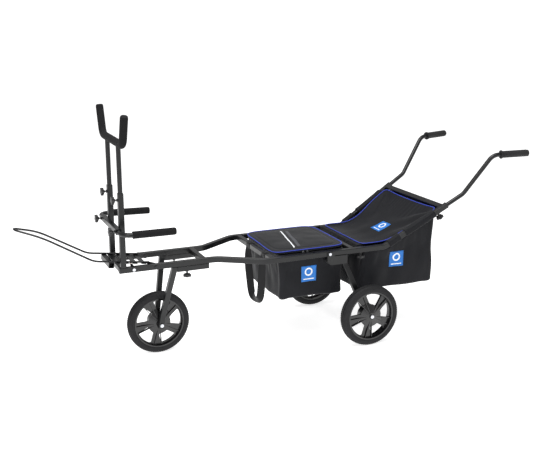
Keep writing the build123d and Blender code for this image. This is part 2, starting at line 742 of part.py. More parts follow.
# ---- Front fork -------------------------------------------------------------------------------------------
fork_leg_top = rail_bottom - fork_top_gap
fork_drop = (front_axle_x - fork_low_knee[0]) / (wheel_radius - fork_low_knee[1])
fork_foot_z = wheel_radius - fork_foot_below
fork_foot_x = fork_low_knee[0] + fork_drop * (fork_foot_z - fork_low_knee[1])
for side, name in SIDES:
    leg_route = [
        (fork_top_x, side * front_half_width, fork_leg_top),
        (fork_top_x, side * front_half_width, fork_knee_z),
        (fork_low_knee[0], side * fork_axle_half, fork_low_knee[1]),
        (fork_foot_x, side * fork_axle_half, fork_foot_z),
    ]
    with BuildPart() as fork_leg:
        add(swept(leg_route, fork_bend, square_profile(tube_size, None), (1, 0, 0)))
        # the insert that slides in the socket, closed by the leg at its front
        insert_start = (fork_top_x, side * front_half_width, socket_height)
        with BuildSketch(Plane(origin=insert_start, x_dir=(0, 1, 0), z_dir=(1, 0, 0))):
            RectangleRounded(insert_size, insert_size, tube_corner - tube_wall)
        extrude(amount=fork_insert_rear_x - fork_top_x)
        insert_bore = Plane(origin=(fork_top_x + tube_half, side * front_half_width, socket_height),
                            x_dir=(0, 1, 0), z_dir=(1, 0, 0))
        bore_size = insert_size - 2 * tube_wall
        with BuildSketch(insert_bore):
            Rectangle(bore_size, bore_size)
        extrude(amount=fork_insert_rear_x - fork_top_x, mode=Mode.SUBTRACT)
        add(swept(leg_route, fork_bend, square_profile(tube_bore, None, tube_corner - tube_wall), (1, 0, 0)),
            mode=Mode.SUBTRACT)
        add(rod_between((front_axle_x, 0, wheel_radius), (front_axle_x, side * 2 * front_half_width,
                                                          wheel_radius), axle_radius + axle_gap),
            mode=Mode.SUBTRACT)
        # spot faces that the axle's head, nut and spacers seat on
        for seat, way in ((fork_axle_half + tube_half, 1), (fork_axle_half - tube_half, -1)):
            add(rod_between((front_axle_x, side * seat, wheel_radius),
                            (front_axle_x, side * (seat + way * spot_depth), wheel_radius), spot_radius),
                mode=Mode.SUBTRACT)
    fork_leg.part.label = f"{name}_fork_leg"
    export_step(fork_leg.part, f"parts/{name}_fork_leg.step")

hub_outer_end = hub_outer_face + bush_flange
hub_inner_end = -hub_inner_face + bush_flange
with BuildPart() as front_axle:
    axle_face = fork_axle_half + tube_half
    add(rod_between((front_axle_x, -axle_face - axle_head_height - axle_thread_out, wheel_radius),
                    (front_axle_x, axle_face, wheel_radius), axle_radius))
    with BuildSketch(Plane(origin=(front_axle_x, axle_face, wheel_radius), z_dir=(0, 1, 0))):
        RegularPolygon(axle_head_radius, 6)
    extrude(amount=axle_head_height)
    with BuildSketch(Plane(origin=(front_axle_x, -axle_face, wheel_radius), z_dir=(0, -1, 0))):
        RegularPolygon(axle_head_radius, 6)
        Circle(axle_radius + axle_gap, mode=Mode.SUBTRACT)
    extrude(amount=axle_head_height)
    for start, end in ((-fork_axle_half + tube_half, -hub_outer_end - washer_gap),
                       (fork_axle_half - tube_half, hub_inner_end + washer_gap)):
        with BuildSketch(Plane(origin=(front_axle_x, start, wheel_radius), z_dir=(0, 1, 0))):
            Circle(spacer_radius)
            Circle(axle_radius + axle_gap, mode=Mode.SUBTRACT)
        extrude(amount=end - start)
front_axle.part.label = "front_axle"
export_step(front_axle.part, "parts/front_axle.step")

# ---- Folding rear legs ------------------------------------------------------------------------------------
# Each leg is welded in a channel that straddles the rail. It turns on a bolt through the rail, and the load
# presses the channel's block up against the rail's underside.
leg_half = leg_size / 2
leg_top_z = rail_bottom - leg_stop_gap
leg_drop = (rear_axle_x - leg_knee[0]) / (wheel_radius - leg_knee[1])
leg_foot_z = wheel_radius - leg_foot_below
leg_bore = leg_size - 2 * tube_wall


def leg_place(z):
    return leg_knee[0] + leg_drop * (z - leg_knee[1])


for side, name in SIDES:
    leg_route = [
        (leg_top_x, side * rear_half_width, leg_top_z),
        (leg_knee[0], side * rear_half_width, leg_knee[1]),
        (leg_place(leg_low_knee_z), side * leg_axle_half, leg_low_knee_z),
        (leg_place(leg_foot_z), side * leg_axle_half, leg_foot_z),
    ]
    ear_top_z = rail_height + ear_top_rise
    with BuildPart() as rear_leg:
        add(swept(leg_route, leg_bend, square_profile(leg_size, None), (1, 0, 0)))
        add(swept(leg_route, leg_bend, square_profile(leg_bore, None, tube_corner - tube_wall), (1, 0, 0)),
            mode=Mode.SUBTRACT)
        # trim the leg's square top level with the block
        with BuildSketch(Plane.XY.offset(leg_top_z)):
            with Locations((leg_top_x, side * rear_half_width)):
                Rectangle(3 * leg_size, 3 * leg_size)
        extrude(amount=tube_size, mode=Mode.SUBTRACT)
        for ear_y in (ear_inner_y, ear_outer_y - ear_thickness):
            near_face = min(side * ear_y, side * (ear_y + ear_thickness))
            with BuildSketch(Plane(origin=(0, near_face, 0), x_dir=(1, 0, 0), z_dir=(0, -1, 0))) as ear:
                Polygon((ear_front_x, ear_top_z), (leg_pivot_x + ear_top_length, ear_top_z),
                        (leg_pivot_x + ear_top_length + ear_slope, leg_top_z), (ear_rear_x, leg_top_z),
                        (ear_rear_x, channel_bottom), (ear_front_x + ear_cut, channel_bottom),
                        (ear_front_x, channel_bottom + ear_cut), align=None)
                fillet(ear.vertices().group_by(Axis.X)[0], ear_corner)
                with Locations((leg_pivot_x, rail_height)):
                    Circle(pivot_radius + pivot_gap, mode=Mode.SUBTRACT)
            extrude(amount=-ear_thickness)
        web_front_x = ear_front_x + web_setback
        with BuildSketch(Plane.XY.offset(channel_bottom)):
            with Locations(((web_front_x + leg_top_x - leg_half) / 2, side * rear_half_width)):
                Rectangle(leg_top_x - leg_half - web_front_x, leg_size)
        extrude(amount=ear_thickness)
        add(rod_between((rear_axle_x, 0, wheel_radius), (rear_axle_x, side * 2 * leg_axle_half, wheel_radius),
                        axle_radius + axle_gap), mode=Mode.SUBTRACT)
        for seat, way in ((leg_axle_half + leg_half, 1), (leg_axle_half - leg_half, -1)):
            add(rod_between((rear_axle_x, side * seat, wheel_radius),
                            (rear_axle_x, side * (seat + way * spot_depth), wheel_radius), spot_radius),
                mode=Mode.SUBTRACT)
    rear_leg.part.label = f"{name}_rear_leg"
    export_step(rear_leg.part, f"parts/{name}_rear_leg.step")

    inner_face_y = leg_axle_half - leg_half
    hub_near_y = rear_wheel_y - hub_inner_end
    hub_far_y = rear_wheel_y + hub_outer_end
    outward = (0, side, 0)
    with BuildPart() as rear_axle:
        thread_end_y = inner_face_y - axle_head_height - axle_thread_out
        add(rod_between((rear_axle_x, side * thread_end_y, wheel_radius),
                        (rear_axle_x, side * (hub_far_y + washer_gap), wheel_radius), axle_radius))
        with BuildSketch(Plane(origin=(rear_axle_x, side * (hub_far_y + washer_gap), wheel_radius),
                               z_dir=outward)):
            Circle(axle_head_radius)
        extrude(amount=axle_head_height)
        fillet(rear_axle.faces().sort_by(Axis((0, 0, 0), outward))[-1].edges(), axle_end_fillet)
        with BuildSketch(Plane(origin=(rear_axle_x, side * inner_face_y, wheel_radius), z_dir=outward)):
            RegularPolygon(axle_head_radius, 6)
            Circle(axle_radius + axle_gap, mode=Mode.SUBTRACT)
        extrude(amount=-axle_head_height)
        spacer_start = leg_axle_half + leg_half
        with BuildSketch(Plane(origin=(rear_axle_x, side * spacer_start, wheel_radius), z_dir=outward)):
            Circle(spacer_radius)
            Circle(axle_radius + axle_gap, mode=Mode.SUBTRACT)
        extrude(amount=hub_near_y - washer_gap - spacer_start)
    rear_axle.part.label = f"{name}_rear_axle"
    export_step(rear_axle.part, f"parts/{name}_rear_axle.step")

# ---- Back frame -------------------------------------------------------------------------------------------
# Square tubes that plug into the rails, bend upwards and flare out; a cross tube joins them near their ends.
back_rise = (back_end[2] - rail_height) / (back_end[0] - back_corner_x)


def back_corner(side):
    return Vector(back_corner_x, side * rear_half_width, rail_height)


def back_open_end(side):
    return Vector(back_end[0], side * back_end[1], back_end[2])


def back_way(side):
    return (back_open_end(side) - back_corner(side)).normalized()


def back_point(side, distance):
    """A point on the slanted tube's centre line, a distance back from its open end."""
    return back_open_end(side) - back_way(side) * distance


def back_across(side):
    """Sideways direction of the slanted tube: the Y direction, turned with the tube through its bend."""
    bend_axis = Axis((0, 0, 0), Vector(1, 0, 0).cross(back_way(side)))
    return Vector(0, 1, 0).rotate(bend_axis, Vector(1, 0, 0).get_angle(back_way(side)))


def back_down(side):
    """Square to the slanted tube, pointing out of its underside."""
    return back_across(side).cross(back_way(side))


def slanted_profile(side, start, length, profile):
    """A straight run of the profile along the slanted tube, start measured up from its corner."""
    origin = back_corner(side) + back_way(side) * start
    with BuildPart(mode=Mode.PRIVATE) as run:
        with BuildSketch(Plane(origin=origin, x_dir=back_across(side), z_dir=back_way(side))):
            add(profile)
        extrude(amount=length)
    return run.part


back_length = (back_open_end(1) - back_corner(1)).length
top_bar_centre = back_point(1, top_bar_back)
for side, name in SIDES:
    back_route = [(rail_end_x + back_start_gap, side * rear_half_width, rail_height), back_corner(side),
                  back_open_end(side)]
    knob_face = knob_plane(back_point(side, handle_knob_back) + back_down(side) * tube_half, back_down(side))
    with BuildPart() as back_tube:
        add(swept(back_route, back_bend, square_profile(tube_size, None), (0, 1, 0)))
        spigot = Plane(origin=(spigot_front_x, side * rear_half_width, rail_height), x_dir=(0, 1, 0),
                       z_dir=(1, 0, 0))
        with BuildSketch(spigot):
            add(square_profile(insert_size, tube_wall, insert_corner))
        extrude(amount=rail_end_x + back_start_gap - spigot_front_x)
        bore = square_profile(tube_bore, None, tube_corner - tube_wall)
        add(slanted_profile(side, back_solid_length, back_length, bore), mode=Mode.SUBTRACT)
        add(threaded_boss(knob_face))
        add(stud_hole(knob_face), mode=Mode.SUBTRACT)
    back_tube.part.label = f"{name}_back_tube"
    export_step(back_tube.part, f"parts/{name}_back_tube.step")

with BuildPart() as top_bar:
    slope_dir = Vector(back_way(1).X, 0, back_way(1).Z).normalized()
    bar_start = Vector(top_bar_centre.X, -top_bar_centre.Y, top_bar_centre.Z)
    with BuildSketch(Plane(origin=bar_start, x_dir=slope_dir, z_dir=(0, 1, 0))):
        add(square_profile(tube_size))
    extrude(amount=2 * top_bar_centre.Y)
    for side, name in SIDES:
        outward = back_across(side) * side
        inner_face = back_point(side, top_bar_back) - outward * tube_half
        split(bisect_by=Plane(origin=inner_face, z_dir=outward), keep=Keep.BOTTOM)
top_bar.part.label = "back_top_bar"
export_step(top_bar.part, "parts/back_top_bar.step")

# ---- Telescoping handles and grips ------------------------------------------------------------------------
for side, name in SIDES:
    knee = back_open_end(side) + back_way(side) * handle_knee_out
    top = Vector(handle_top[0], side * handle_top[1], handle_top[2])
    end = Vector(handle_end[0], side * handle_end[1], handle_end[2])
    with BuildPart() as handle:
        add(swept([back_point(side, handle_insert), knee, top, end], handle_bends,
                  round_profile(round_radius, round_wall), (0, 1, 0)))
    handle.part.label = f"{name}_handle"
    export_step(handle.part, f"parts/{name}_handle.step")

    grip_way = (end - top).normalized()
    grip_start = Plane(origin=end - grip_way * grip_length, z_dir=grip_way)
    with BuildPart() as grip:
        with BuildSketch(grip_start):
            Circle(grip_flange_radius)
        extrude(amount=grip_flange)
        with BuildSketch(grip_start):
            Circle(grip_radius)
        extrude(amount=grip_length + grip_end_cap)
        fillet(grip.faces().sort_by(Axis(grip_start.origin, grip_way))[-1].edges(), grip_end_cap)
        with BuildSketch(grip_start):
            Circle(round_radius)
        extrude(amount=grip_length, mode=Mode.SUBTRACT)
    grip.part.label = f"{name}_grip"
    export_step(grip.part, f"parts/{name}_grip.step")

# ---- Clamping knobs ---------------------------------------------------------------------------------------
for side, name in SIDES:
    knob_places = {
        "post": (knob_plane((post_x - tube_half, side * front_half_width, post_knob_z), (-1, 0, 0)),
                 round_gap),
        "arm": (knob_plane((armrest_x - tube_half, side * armrest_knob_y, armrest_z), (-1, 0, 0)), round_gap),
        "fork": (knob_plane((fork_knob_x, side * front_half_width, socket_bottom), (0, 0, -1)), slip_gap),
        "back": (knob_plane((rear_knob_x, side * rear_half_width, rail_bottom), (0, 0, -1)), slip_gap),
        "handle": (knob_plane(back_point(side, handle_knob_back) + back_down(side) * tube_half,
                              back_down(side)), round_gap),
    }
    for place, (plane, clearance) in knob_places.items():
        with BuildPart() as knob:
            add(clamp_knob(plane, clearance))
        knob.part.label = f"{name}_{place}_knob"
        export_step(knob.part, f"parts/{name}_{place}_knob.step")

# ---- Front basket and its lid -----------------------------------------------------------------------------
# The basket hangs by its hem inside the frame, between the strap bar and the lid bar.
hem_rear_x = lid_bar_x - tube_half - touch_gap
hem_half_width = ear_inner_y - touch_gap - pivot_bolt_head - hem_head_gap


def basket_block(inset):
    """The basket's outer shape, or its inside when inset by the cloth."""
    step_z = hem_top - hem_height + inset
    with BuildPart(mode=Mode.PRIVATE) as block:
        with BuildSketch(Plane.XY.offset(basket_bottom + inset)):
            with Locations(((basket_front_x + basket_rear_x) / 2, 0)):
                RectangleRounded(basket_rear_x - basket_front_x - 2 * inset,
                                 2 * (basket_half_width - inset), basket_corner - inset)
        extrude(amount=step_z - basket_bottom - inset + cloth)
        fillet(block.faces().sort_by(Axis.Z)[0].edges(), basket_bottom_bend - inset)
        with BuildSketch(Plane.XY.offset(step_z)):
            with Locations(((hem_front_x + hem_rear_x) / 2, 0)):
                Rectangle(hem_rear_x - hem_front_x - 2 * inset, 2 * (hem_half_width - inset))
        extrude(amount=hem_height)
    return block.part


with BuildPart() as basket:
    add(basket_block(0))
    add(basket_block(cloth), mode=Mode.SUBTRACT)
basket.part.label = "basket"
export_step(basket.part, "parts/basket.step")

with BuildPart() as basket_lid:
    with BuildSketch(Plane.XY.offset(rail_top + lid_gap)):
        with Locations(((lid_front_x + lid_rear_x) / 2, 0)):
            RectangleRounded(lid_rear_x - lid_front_x, 2 * lid_half_width, lid_corner)
    extrude(amount=lid_thickness)
    fillet(basket_lid.faces().sort_by(Axis.Z)[-1].edges(), lid_edge)
basket_lid.part.label = "basket_lid"
export_step(basket_lid.part, "parts/basket_lid.step")

# ---- Carry strap: webbing looped twice over the strap bar -------------------------------------------------
strap_inner = tube_half + touch_gap
strap_outer = strap_inner + strap_thickness
with BuildPart() as carry_strap:
    for y in (strap_left_y, strap_right_y):
        loop = Plane(origin=(strap_bar_x, y - strap_width / 2, rail_height), x_dir=(1, 0, 0),
                     z_dir=(0, 1, 0))
        with BuildSketch(loop):
            Rectangle(2 * strap_outer, 2 * strap_outer)
            Rectangle(2 * strap_inner, 2 * strap_inner, mode=Mode.SUBTRACT)
        extrude(amount=strap_width)
    hanging = Plane(origin=(strap_bar_x - strap_outer, 0, 0), x_dir=(0, 1, 0), z_dir=(1, 0, 0))
    low_z = strap_bottom + strap_width / 2
    with BuildSketch(hanging):
        with BuildLine():
            FilletPolyline((strap_left_y, rail_height), (strap_left_y + strap_lean, low_z),
                           (strap_right_y - strap_lean, low_z), (strap_right_y, rail_height),
                           radius=strap_bend)
        trace(line_width=strap_width)
    extrude(amount=strap_thickness)
carry_strap.part.label = "carry_strap"
export_step(carry_strap.part, "parts/carry_strap.step")

# ---- Rear bag, its cover and the fabric sleeves ------------------------------------------------------------
sleeve_half = tube_half + sleeve_gap + sleeve_thickness
with BuildPart() as tube_sleeves:
    for side, name in SIDES:
        for start, end in sleeve_spans:
            sleeve = square_profile(2 * sleeve_half, sleeve_thickness, tube_corner + sleeve_thickness)
            add(slanted_profile(side, start, end - start, sleeve))
tube_sleeves.part.label = "tube_sleeves"
export_step(tube_sleeves.part, "parts/tube_sleeves.step")

with BuildPart() as bar_sleeve:
    sleeve_start = Plane(origin=(bag_bar_x, -bar_sleeve_half, rail_height), x_dir=(1, 0, 0), z_dir=(0, 1, 0))
    with BuildSketch(sleeve_start):
        add(square_profile(2 * sleeve_half, sleeve_thickness, tube_corner + sleeve_thickness))
    extrude(amount=2 * bar_sleeve_half)
bar_sleeve.part.label = "bar_sleeve"
export_step(bar_sleeve.part, "parts/bar_sleeve.step")


def below_back_tube(x):
    """Height of the bag's top edge, under the sleeves along the slanted tubes."""
    sleeve_drop = (sleeve_half + bag_side_step) * hypot(1, back_rise)
    return rail_height + back_rise * (x - back_corner_x) - sleeve_drop


bag_rail_z = rail_bottom - touch_gap
bag_front_high_x = bag_bar_x + sleeve_half + bag_bar_gap
bag_step_x = back_corner_x + (bag_rail_z - below_back_tube(back_corner_x)) / back_rise


def bag_block(inset):
    """The bag's outer shape, or its inside when inset by the cloth."""
    side_view = [
        (bag_front_low_x + inset, bag_bottom + inset),
        (bag_front_high_x + inset, bag_rail_z + 2 * inset),
        (bag_step_x, bag_rail_z + 2 * inset),
        (bag_rear_high_x - inset, below_back_tube(bag_rear_high_x) + 2 * inset),
        (bag_rear_low_x - inset, bag_bottom + inset),
    ]
    plan = [
        (bag_front_low_x - 10, bag_front_half_width - inset),
        (bag_flare[0], bag_front_half_width - inset),
        (bag_flare[1], bag_half_width - inset),
        (bag_rear_low_x + 10, bag_half_width - inset),
    ]
    with BuildPart(mode=Mode.PRIVATE) as block:
        with BuildSketch(Plane.XZ.offset(-2 * bag_half_width)):
            Polygon(*side_view, align=None)
        extrude(amount=4 * bag_half_width)
        with BuildSketch(Plane.XY):
            Polygon(*plan, *[(x, -y) for x, y in reversed(plan)], align=None)
        extrude(amount=back_end[2], mode=Mode.INTERSECT)
    return block.part


with BuildPart() as rear_bag:
    add(bag_block(0))
    add(bag_block(cloth), mode=Mode.SUBTRACT)
rear_bag.part.label = "rear_bag"
export_step(rear_bag.part, "parts/rear_bag.step")

cover_rear = top_bar_centre - slope_dir * (tube_half + cover_swing_gap)
with BuildPart() as bag_cover:
    front_low = (cover_front_x, rail_height + sleeve_half + touch_gap)
    rear_low = (cover_rear.X, cover_rear.Z)
    middle = ((front_low[0] + rear_low[0]) / 2, (front_low[1] + rear_low[1]) / 2 - cover_sag)
    with BuildSketch(Plane.XZ.offset(-cover_half_width)):
        with BuildLine():
            ThreePointArc(front_low, middle, rear_low)
            Line(rear_low, (rear_low[0], rear_low[1] + cloth))
            ThreePointArc((rear_low[0], rear_low[1] + cloth), (middle[0], middle[1] + cloth),
                          (front_low[0], front_low[1] + cloth))
            Line((front_low[0], front_low[1] + cloth), front_low)
        make_face()
    extrude(amount=2 * cover_half_width)
bag_cover.part.label = "bag_cover"
export_step(bag_cover.part, "parts/bag_cover.step")
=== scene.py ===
# %% [markdown]
# # A beach cart, dressed
#
# The cart's frame, wheels and knobs come ready from the CAD model and are never moved here.
# This lesson gives them their finishes, and then makes what CAD can't make well: the fabric bags, the
# sagging cover, the padded lid, the webbing strap, the tread and the stitches. Lengths are in metres.

# %% Load the frame
import json
import math

import bpy
from mathutils import Matrix, Vector, noise
from mathutils.bvhtree import BVHTree


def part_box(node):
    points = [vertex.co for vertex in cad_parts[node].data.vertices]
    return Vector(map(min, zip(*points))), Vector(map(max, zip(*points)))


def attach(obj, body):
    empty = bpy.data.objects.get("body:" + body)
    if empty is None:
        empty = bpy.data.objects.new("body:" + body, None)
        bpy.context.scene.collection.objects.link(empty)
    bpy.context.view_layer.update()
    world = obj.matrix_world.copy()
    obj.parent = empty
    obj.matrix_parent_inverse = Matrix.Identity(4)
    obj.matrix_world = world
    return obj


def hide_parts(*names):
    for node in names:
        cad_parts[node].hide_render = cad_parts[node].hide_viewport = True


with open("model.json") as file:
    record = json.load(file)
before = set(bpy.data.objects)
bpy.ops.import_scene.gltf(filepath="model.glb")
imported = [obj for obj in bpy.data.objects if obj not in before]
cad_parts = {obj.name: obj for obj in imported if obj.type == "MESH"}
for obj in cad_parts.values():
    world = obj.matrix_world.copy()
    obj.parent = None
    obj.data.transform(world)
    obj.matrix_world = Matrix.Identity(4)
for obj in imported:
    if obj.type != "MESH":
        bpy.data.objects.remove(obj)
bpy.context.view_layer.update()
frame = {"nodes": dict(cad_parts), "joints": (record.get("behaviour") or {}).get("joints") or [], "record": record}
nodes = frame["nodes"]
joints = {joint["name"]: joint for joint in frame["joints"]}
mm = 0.001
print("CAD nodes:", len(nodes), "joints:", len(joints))

# %% [markdown]
# ## Camera and light
# A long lens from the cart's front left, a little above the yoke, shows the whole length with little
# distortion. The studio is a floor that glows a little, so that it stays white, a sky that the camera sees
# brighter than the cart does, so that the blacks stay deep, and two soft boxes: a big one overhead that
# draws the light line along the top of each tube, and a weaker one from the left.

# %% Camera
camera_place = Vector((-1.650, -3.782, 1.628))
camera_tilt = 14.511
camera_turn = -23.37
camera = bpy.data.objects.new("camera", bpy.data.cameras.new("camera"))
camera.data.lens = 58.44
camera.data.sensor_width = 36.0
camera.location = camera_place
camera.rotation_euler = (math.radians(90 - camera_tilt), 0, math.radians(camera_turn))
bpy.context.scene.collection.objects.link(camera)
bpy.context.scene.camera = camera


# %% Floor, sky and soft boxes
def linear(hex_colour):
    """An sRGB hex colour such as "1a1b1e", as linear red, green, blue and alpha."""
    channels = [int(hex_colour[i:i + 2], 16) / 255 for i in (0, 2, 4)]
    return [c / 12.92 if c < 0.04045 else ((c + 0.055) / 1.055) ** 2.4 for c in channels] + [1.0]


def soft_box(name, place, target, size, watts):
    light = bpy.data.objects.new(name, bpy.data.lights.new(name, "AREA"))
    light.data.shape = "SQUARE"
    light.data.size = size
    light.data.energy = watts
    light.location = place
    light.rotation_euler = (Vector(target) - Vector(place)).to_track_quat("-Z", "Y").to_euler()
    bpy.context.scene.collection.objects.link(light)


floor_half = 30.0
floor_mesh = bpy.data.meshes.new("floor")
floor_mesh.from_pydata([(-floor_half, -floor_half, 0), (floor_half, -floor_half, 0),
                        (floor_half, floor_half, 0), (-floor_half, floor_half, 0)], [], [(0, 1, 2, 3)])
floor = bpy.data.objects.new("floor", floor_mesh)
bpy.context.scene.collection.objects.link(floor)
floor_paint = bpy.data.materials.new("matt_white_floor")
floor_paint.use_nodes = True
floor_shader = floor_paint.node_tree.nodes["Principled BSDF"].inputs
floor_shader["Base Color"].default_value = linear("f4f4f4")
floor_shader["Roughness"].default_value = 0.9
floor_shader["Emission Color"].default_value = linear("ffffff")
floor_shader["Emission Strength"].default_value = 0.7
floor_mesh.materials.append(floor_paint)

world = bpy.data.worlds.new("white_sky")
world.use_nodes = True
sky_links = world.node_tree.links
background = world.node_tree.nodes["Background"].inputs
background["Color"].default_value = linear("ffffff")
sky_strength = 0.5
backdrop_strength = 1.2
seen = world.node_tree.nodes.new("ShaderNodeLightPath").outputs["Is Camera Ray"]
sky = world.node_tree.nodes.new("ShaderNodeMapRange")
sky.inputs["To Min"].default_value = sky_strength
sky.inputs["To Max"].default_value = backdrop_strength
sky_links.new(seen, sky.inputs["Value"])
sky_links.new(sky.outputs["Result"], background["Strength"])
bpy.context.scene.world = world
bpy.context.scene.view_settings.view_transform = "Standard"
soft_box("overhead_box", (-0.4, -0.6, 3.4), (0, 0, 0.4), 2.6, 110)
soft_box("left_box", (-3.2, -3.4, 2.4), (0, 0, 0.5), 1.8, 60)

# %% [markdown]
# ## Finishes
# Each material starts from what the real one is. One small function adds a node with its settings and
# links; `grained` is what most finishes share: two close colours mixed by a cloudy noise, a roughness that
# wanders a little, and a bump whose grain has a real size in millimetres.


# %% Helpers for materials
def add_node(tree, kind, inputs=None, **settings):
    """Adds a node. A value that is a socket is linked, anything else is set."""
    made = tree.nodes.new(kind)
    for name, value in settings.items():
        setattr(made, name, value)
    for socket, value in (inputs or {}).items():
        if isinstance(value, bpy.types.NodeSocket):
            tree.links.new(value, made.inputs[socket])
        else:
            made.inputs[socket].default_value = value
    return made


def new_material(name):
    material = bpy.data.materials.new(name)
    material.use_nodes = True
    return material, material.node_tree, material.node_tree.nodes["Principled BSDF"]


def grained(name, dark, light, roughness, grain_mm, bump_mm, cloud_mm=60, spread=0.06, **sockets):
    """A finish with a cloudy colour, a wandering roughness and a fine bumpy grain."""
    material, tree, shader = new_material(name)
    place = add_node(tree, "ShaderNodeTexCoord").outputs["Object"]
    cloud = add_node(tree, "ShaderNodeTexNoise",
                     {"Vector": place, "Scale": 1000 / cloud_mm, "Detail": 4.0, "Roughness": 0.6})
    grain = add_node(tree, "ShaderNodeTexNoise", {"Vector": place, "Scale": 1000 / grain_mm, "Detail": 2.0})
    mix = add_node(tree, "ShaderNodeMix", {"Factor": cloud.outputs["Fac"], "A": linear(dark),
                                          "B": linear(light)}, data_type="RGBA")
    tree.links.new(mix.outputs["Result"], shader.inputs["Base Color"])
    wander = add_node(tree, "ShaderNodeMapRange", {"Value": cloud.outputs["Fac"], "From Min": 0.3,
                                                  "From Max": 0.7, "To Min": roughness - spread,
                                                  "To Max": roughness + spread})
    tree.links.new(wander.outputs["Result"], shader.inputs["Roughness"])
    bump = add_node(tree, "ShaderNodeBump", {"Height": grain.outputs["Fac"], "Strength": 0.6,
                                            "Distance": bump_mm * mm})
    tree.links.new(bump.outputs["Normal"], shader.inputs["Normal"])
    for socket, value in sockets.items():
        shader.inputs[socket.replace("_", " ")].default_value = value
    return material


# %% [markdown]
# Powder coat is a baked plastic skin: satin, with a faint orange peel about a millimetre across. Moulded
# parts have a finer grain, and foam has open pores that swallow light.

# %% Frame, plastic, rubber and steel
powder_coat = grained("satin_black_powder_coat", "08090a", "0f1012", 0.32, 1.2, 0.05,
                      Specular_IOR_Level=0.4)
knob_plastic = grained("grained_black_nylon_moulding", "08080a", "101013", 0.44, 0.8, 0.08)
plug_plastic = grained("black_polythene_moulding", "121214", "1a1a1c", 0.5, 1.0, 0.05)
white_nylon = grained("white_nylon_moulding", "dcdcd8", "efefec", 0.38, 0.8, 0.03, Subsurface_Weight=0.05)
zinc_plate = grained("bright_zinc_plate", "b9bcc2", "dfe1e6", 0.24, 0.5, 0.02, cloud_mm=8, Metallic=1.0)
foam_skin = grained("closed_cell_rubber_foam", "08080a", "101012", 0.86, 1.6, 0.35, cloud_mm=25,
                   Specular_IOR_Level=0.25)
grip_rubber = grained("soft_black_grip_rubber", "0a0a0c", "121214", 0.7, 1.0, 0.1)
tyre_rubber = grained("moulded_tyre_rubber", "121214", "1c1c1e", 0.72, 1.5, 0.12, cloud_mm=40,
                     Specular_IOR_Level=0.3)
rim_plastic = grained("half_gloss_black_rim_moulding", "060607", "0c0c0e", 0.24, 1.0, 0.02, Coat_Weight=0.2)
puller_steel = grained("blackened_zipper_steel", "77797e", "9b9da2", 0.35, 0.5, 0.02, cloud_mm=5,
                       Metallic=1.0)

FINISHES = {
    "frame_paint": powder_coat, "black_plastic": plug_plastic, "knob_plastic": knob_plastic,
    "white_nylon": white_nylon, "zinc_steel": zinc_plate, "foam": foam_skin, "grip_rubber": grip_rubber,
    "tyre": tyre_rubber, "rim_plastic": rim_plastic,
}

# %% [markdown]
# The bags are coated woven polyester. The real threads are about half a millimetre apart, too fine to
# show, so the weave is drawn at 2.4 mm. It follows each piece's own UV map, which is laid out in metres,
# and so it bends with the cloth. A little sheen stands for the fuzz that catches light at grazing angles.


# %% Cloth, webbing and trims
def woven(name, dark, light, roughness, thread_mm, bump_mm, sheen):
    material, tree, shader = new_material(name)
    surface = add_node(tree, "ShaderNodeUVMap", uv_map="cloth").outputs["UV"]
    place = add_node(tree, "ShaderNodeTexCoord").outputs["Object"]
    threads = []
    for direction in ("X", "Y"):
        wave = add_node(tree, "ShaderNodeTexWave", {"Vector": surface, "Scale": 314.16 / thread_mm / 2,
                                                   "Distortion": 0.4}, bands_direction=direction)
        threads.append(wave.outputs["Fac"])
    weave = add_node(tree, "ShaderNodeMath", {0: threads[0], 1: threads[1]}, operation="MULTIPLY")
    cloud = add_node(tree, "ShaderNodeTexNoise", {"Vector": place, "Scale": 18.0, "Detail": 5.0})
    mix = add_node(tree, "ShaderNodeMix", {"Factor": cloud.outputs["Fac"], "A": linear(dark),
                                          "B": linear(light)}, data_type="RGBA")
    tree.links.new(mix.outputs["Result"], shader.inputs["Base Color"])
    height = add_node(tree, "ShaderNodeMath", {0: cloud.outputs["Fac"], 1: 1.5, 2: weave.outputs[0]},
                      operation="MULTIPLY_ADD")
    bump = add_node(tree, "ShaderNodeBump", {"Height": height.outputs[0], "Strength": 0.5,
                                            "Distance": bump_mm * mm})
    tree.links.new(bump.outputs["Normal"], shader.inputs["Normal"])
    shader.inputs["Roughness"].default_value = roughness
    shader.inputs["Specular IOR Level"].default_value = 0.22
    shader.inputs["Sheen Weight"].default_value = sheen
    shader.inputs["Sheen Roughness"].default_value = 0.4
    return material


bag_cloth = woven("black_coated_polyester", "07080c", "0e0f15", 0.66, 2.4, 0.25, 0.10)
lid_cloth = woven("charcoal_polyester_lid", "0e0f12", "17181c", 0.68, 2.4, 0.25, 0.15)
webbing = woven("black_polypropylene_webbing", "09090b", "111113", 0.6, 3.0, 0.5, 0.10)
blue_piping = grained("royal_blue_piping", "1b2f96", "2a43b8", 0.5, 0.8, 0.1, Sheen_Weight=0.1)
blue_patch = grained("bright_blue_woven_patch", "1665b4", "1f74c6", 0.6, 0.7, 0.08)
white_print = grained("white_screen_print", "dfe3e8", "f4f6f8", 0.55, 0.7, 0.03)
grey_print = grained("grey_screen_print", "3c3d41", "4a4b50", 0.6, 0.7, 0.03)
dark_thread = grained("black_sewing_thread", "1c1d22", "2a2b31", 0.6, 0.5, 0.05)

for row in frame["record"]["subparts"]:
    if row["material_slot"] in FINISHES:
        shown = nodes[row["node"]]
        shown.data.materials.clear()
        shown.data.materials.append(FINISHES[row["material_slot"]])
bolts = nodes["rail_bolts"].data
bolts.materials.append(powder_coat)
nose_pivot_x = joints["nose_fold"]["pos_m"][0]
for face in bolts.polygons:
    if abs(face.center.x - nose_pivot_x) < 40 * mm:
        face.material_index = 1

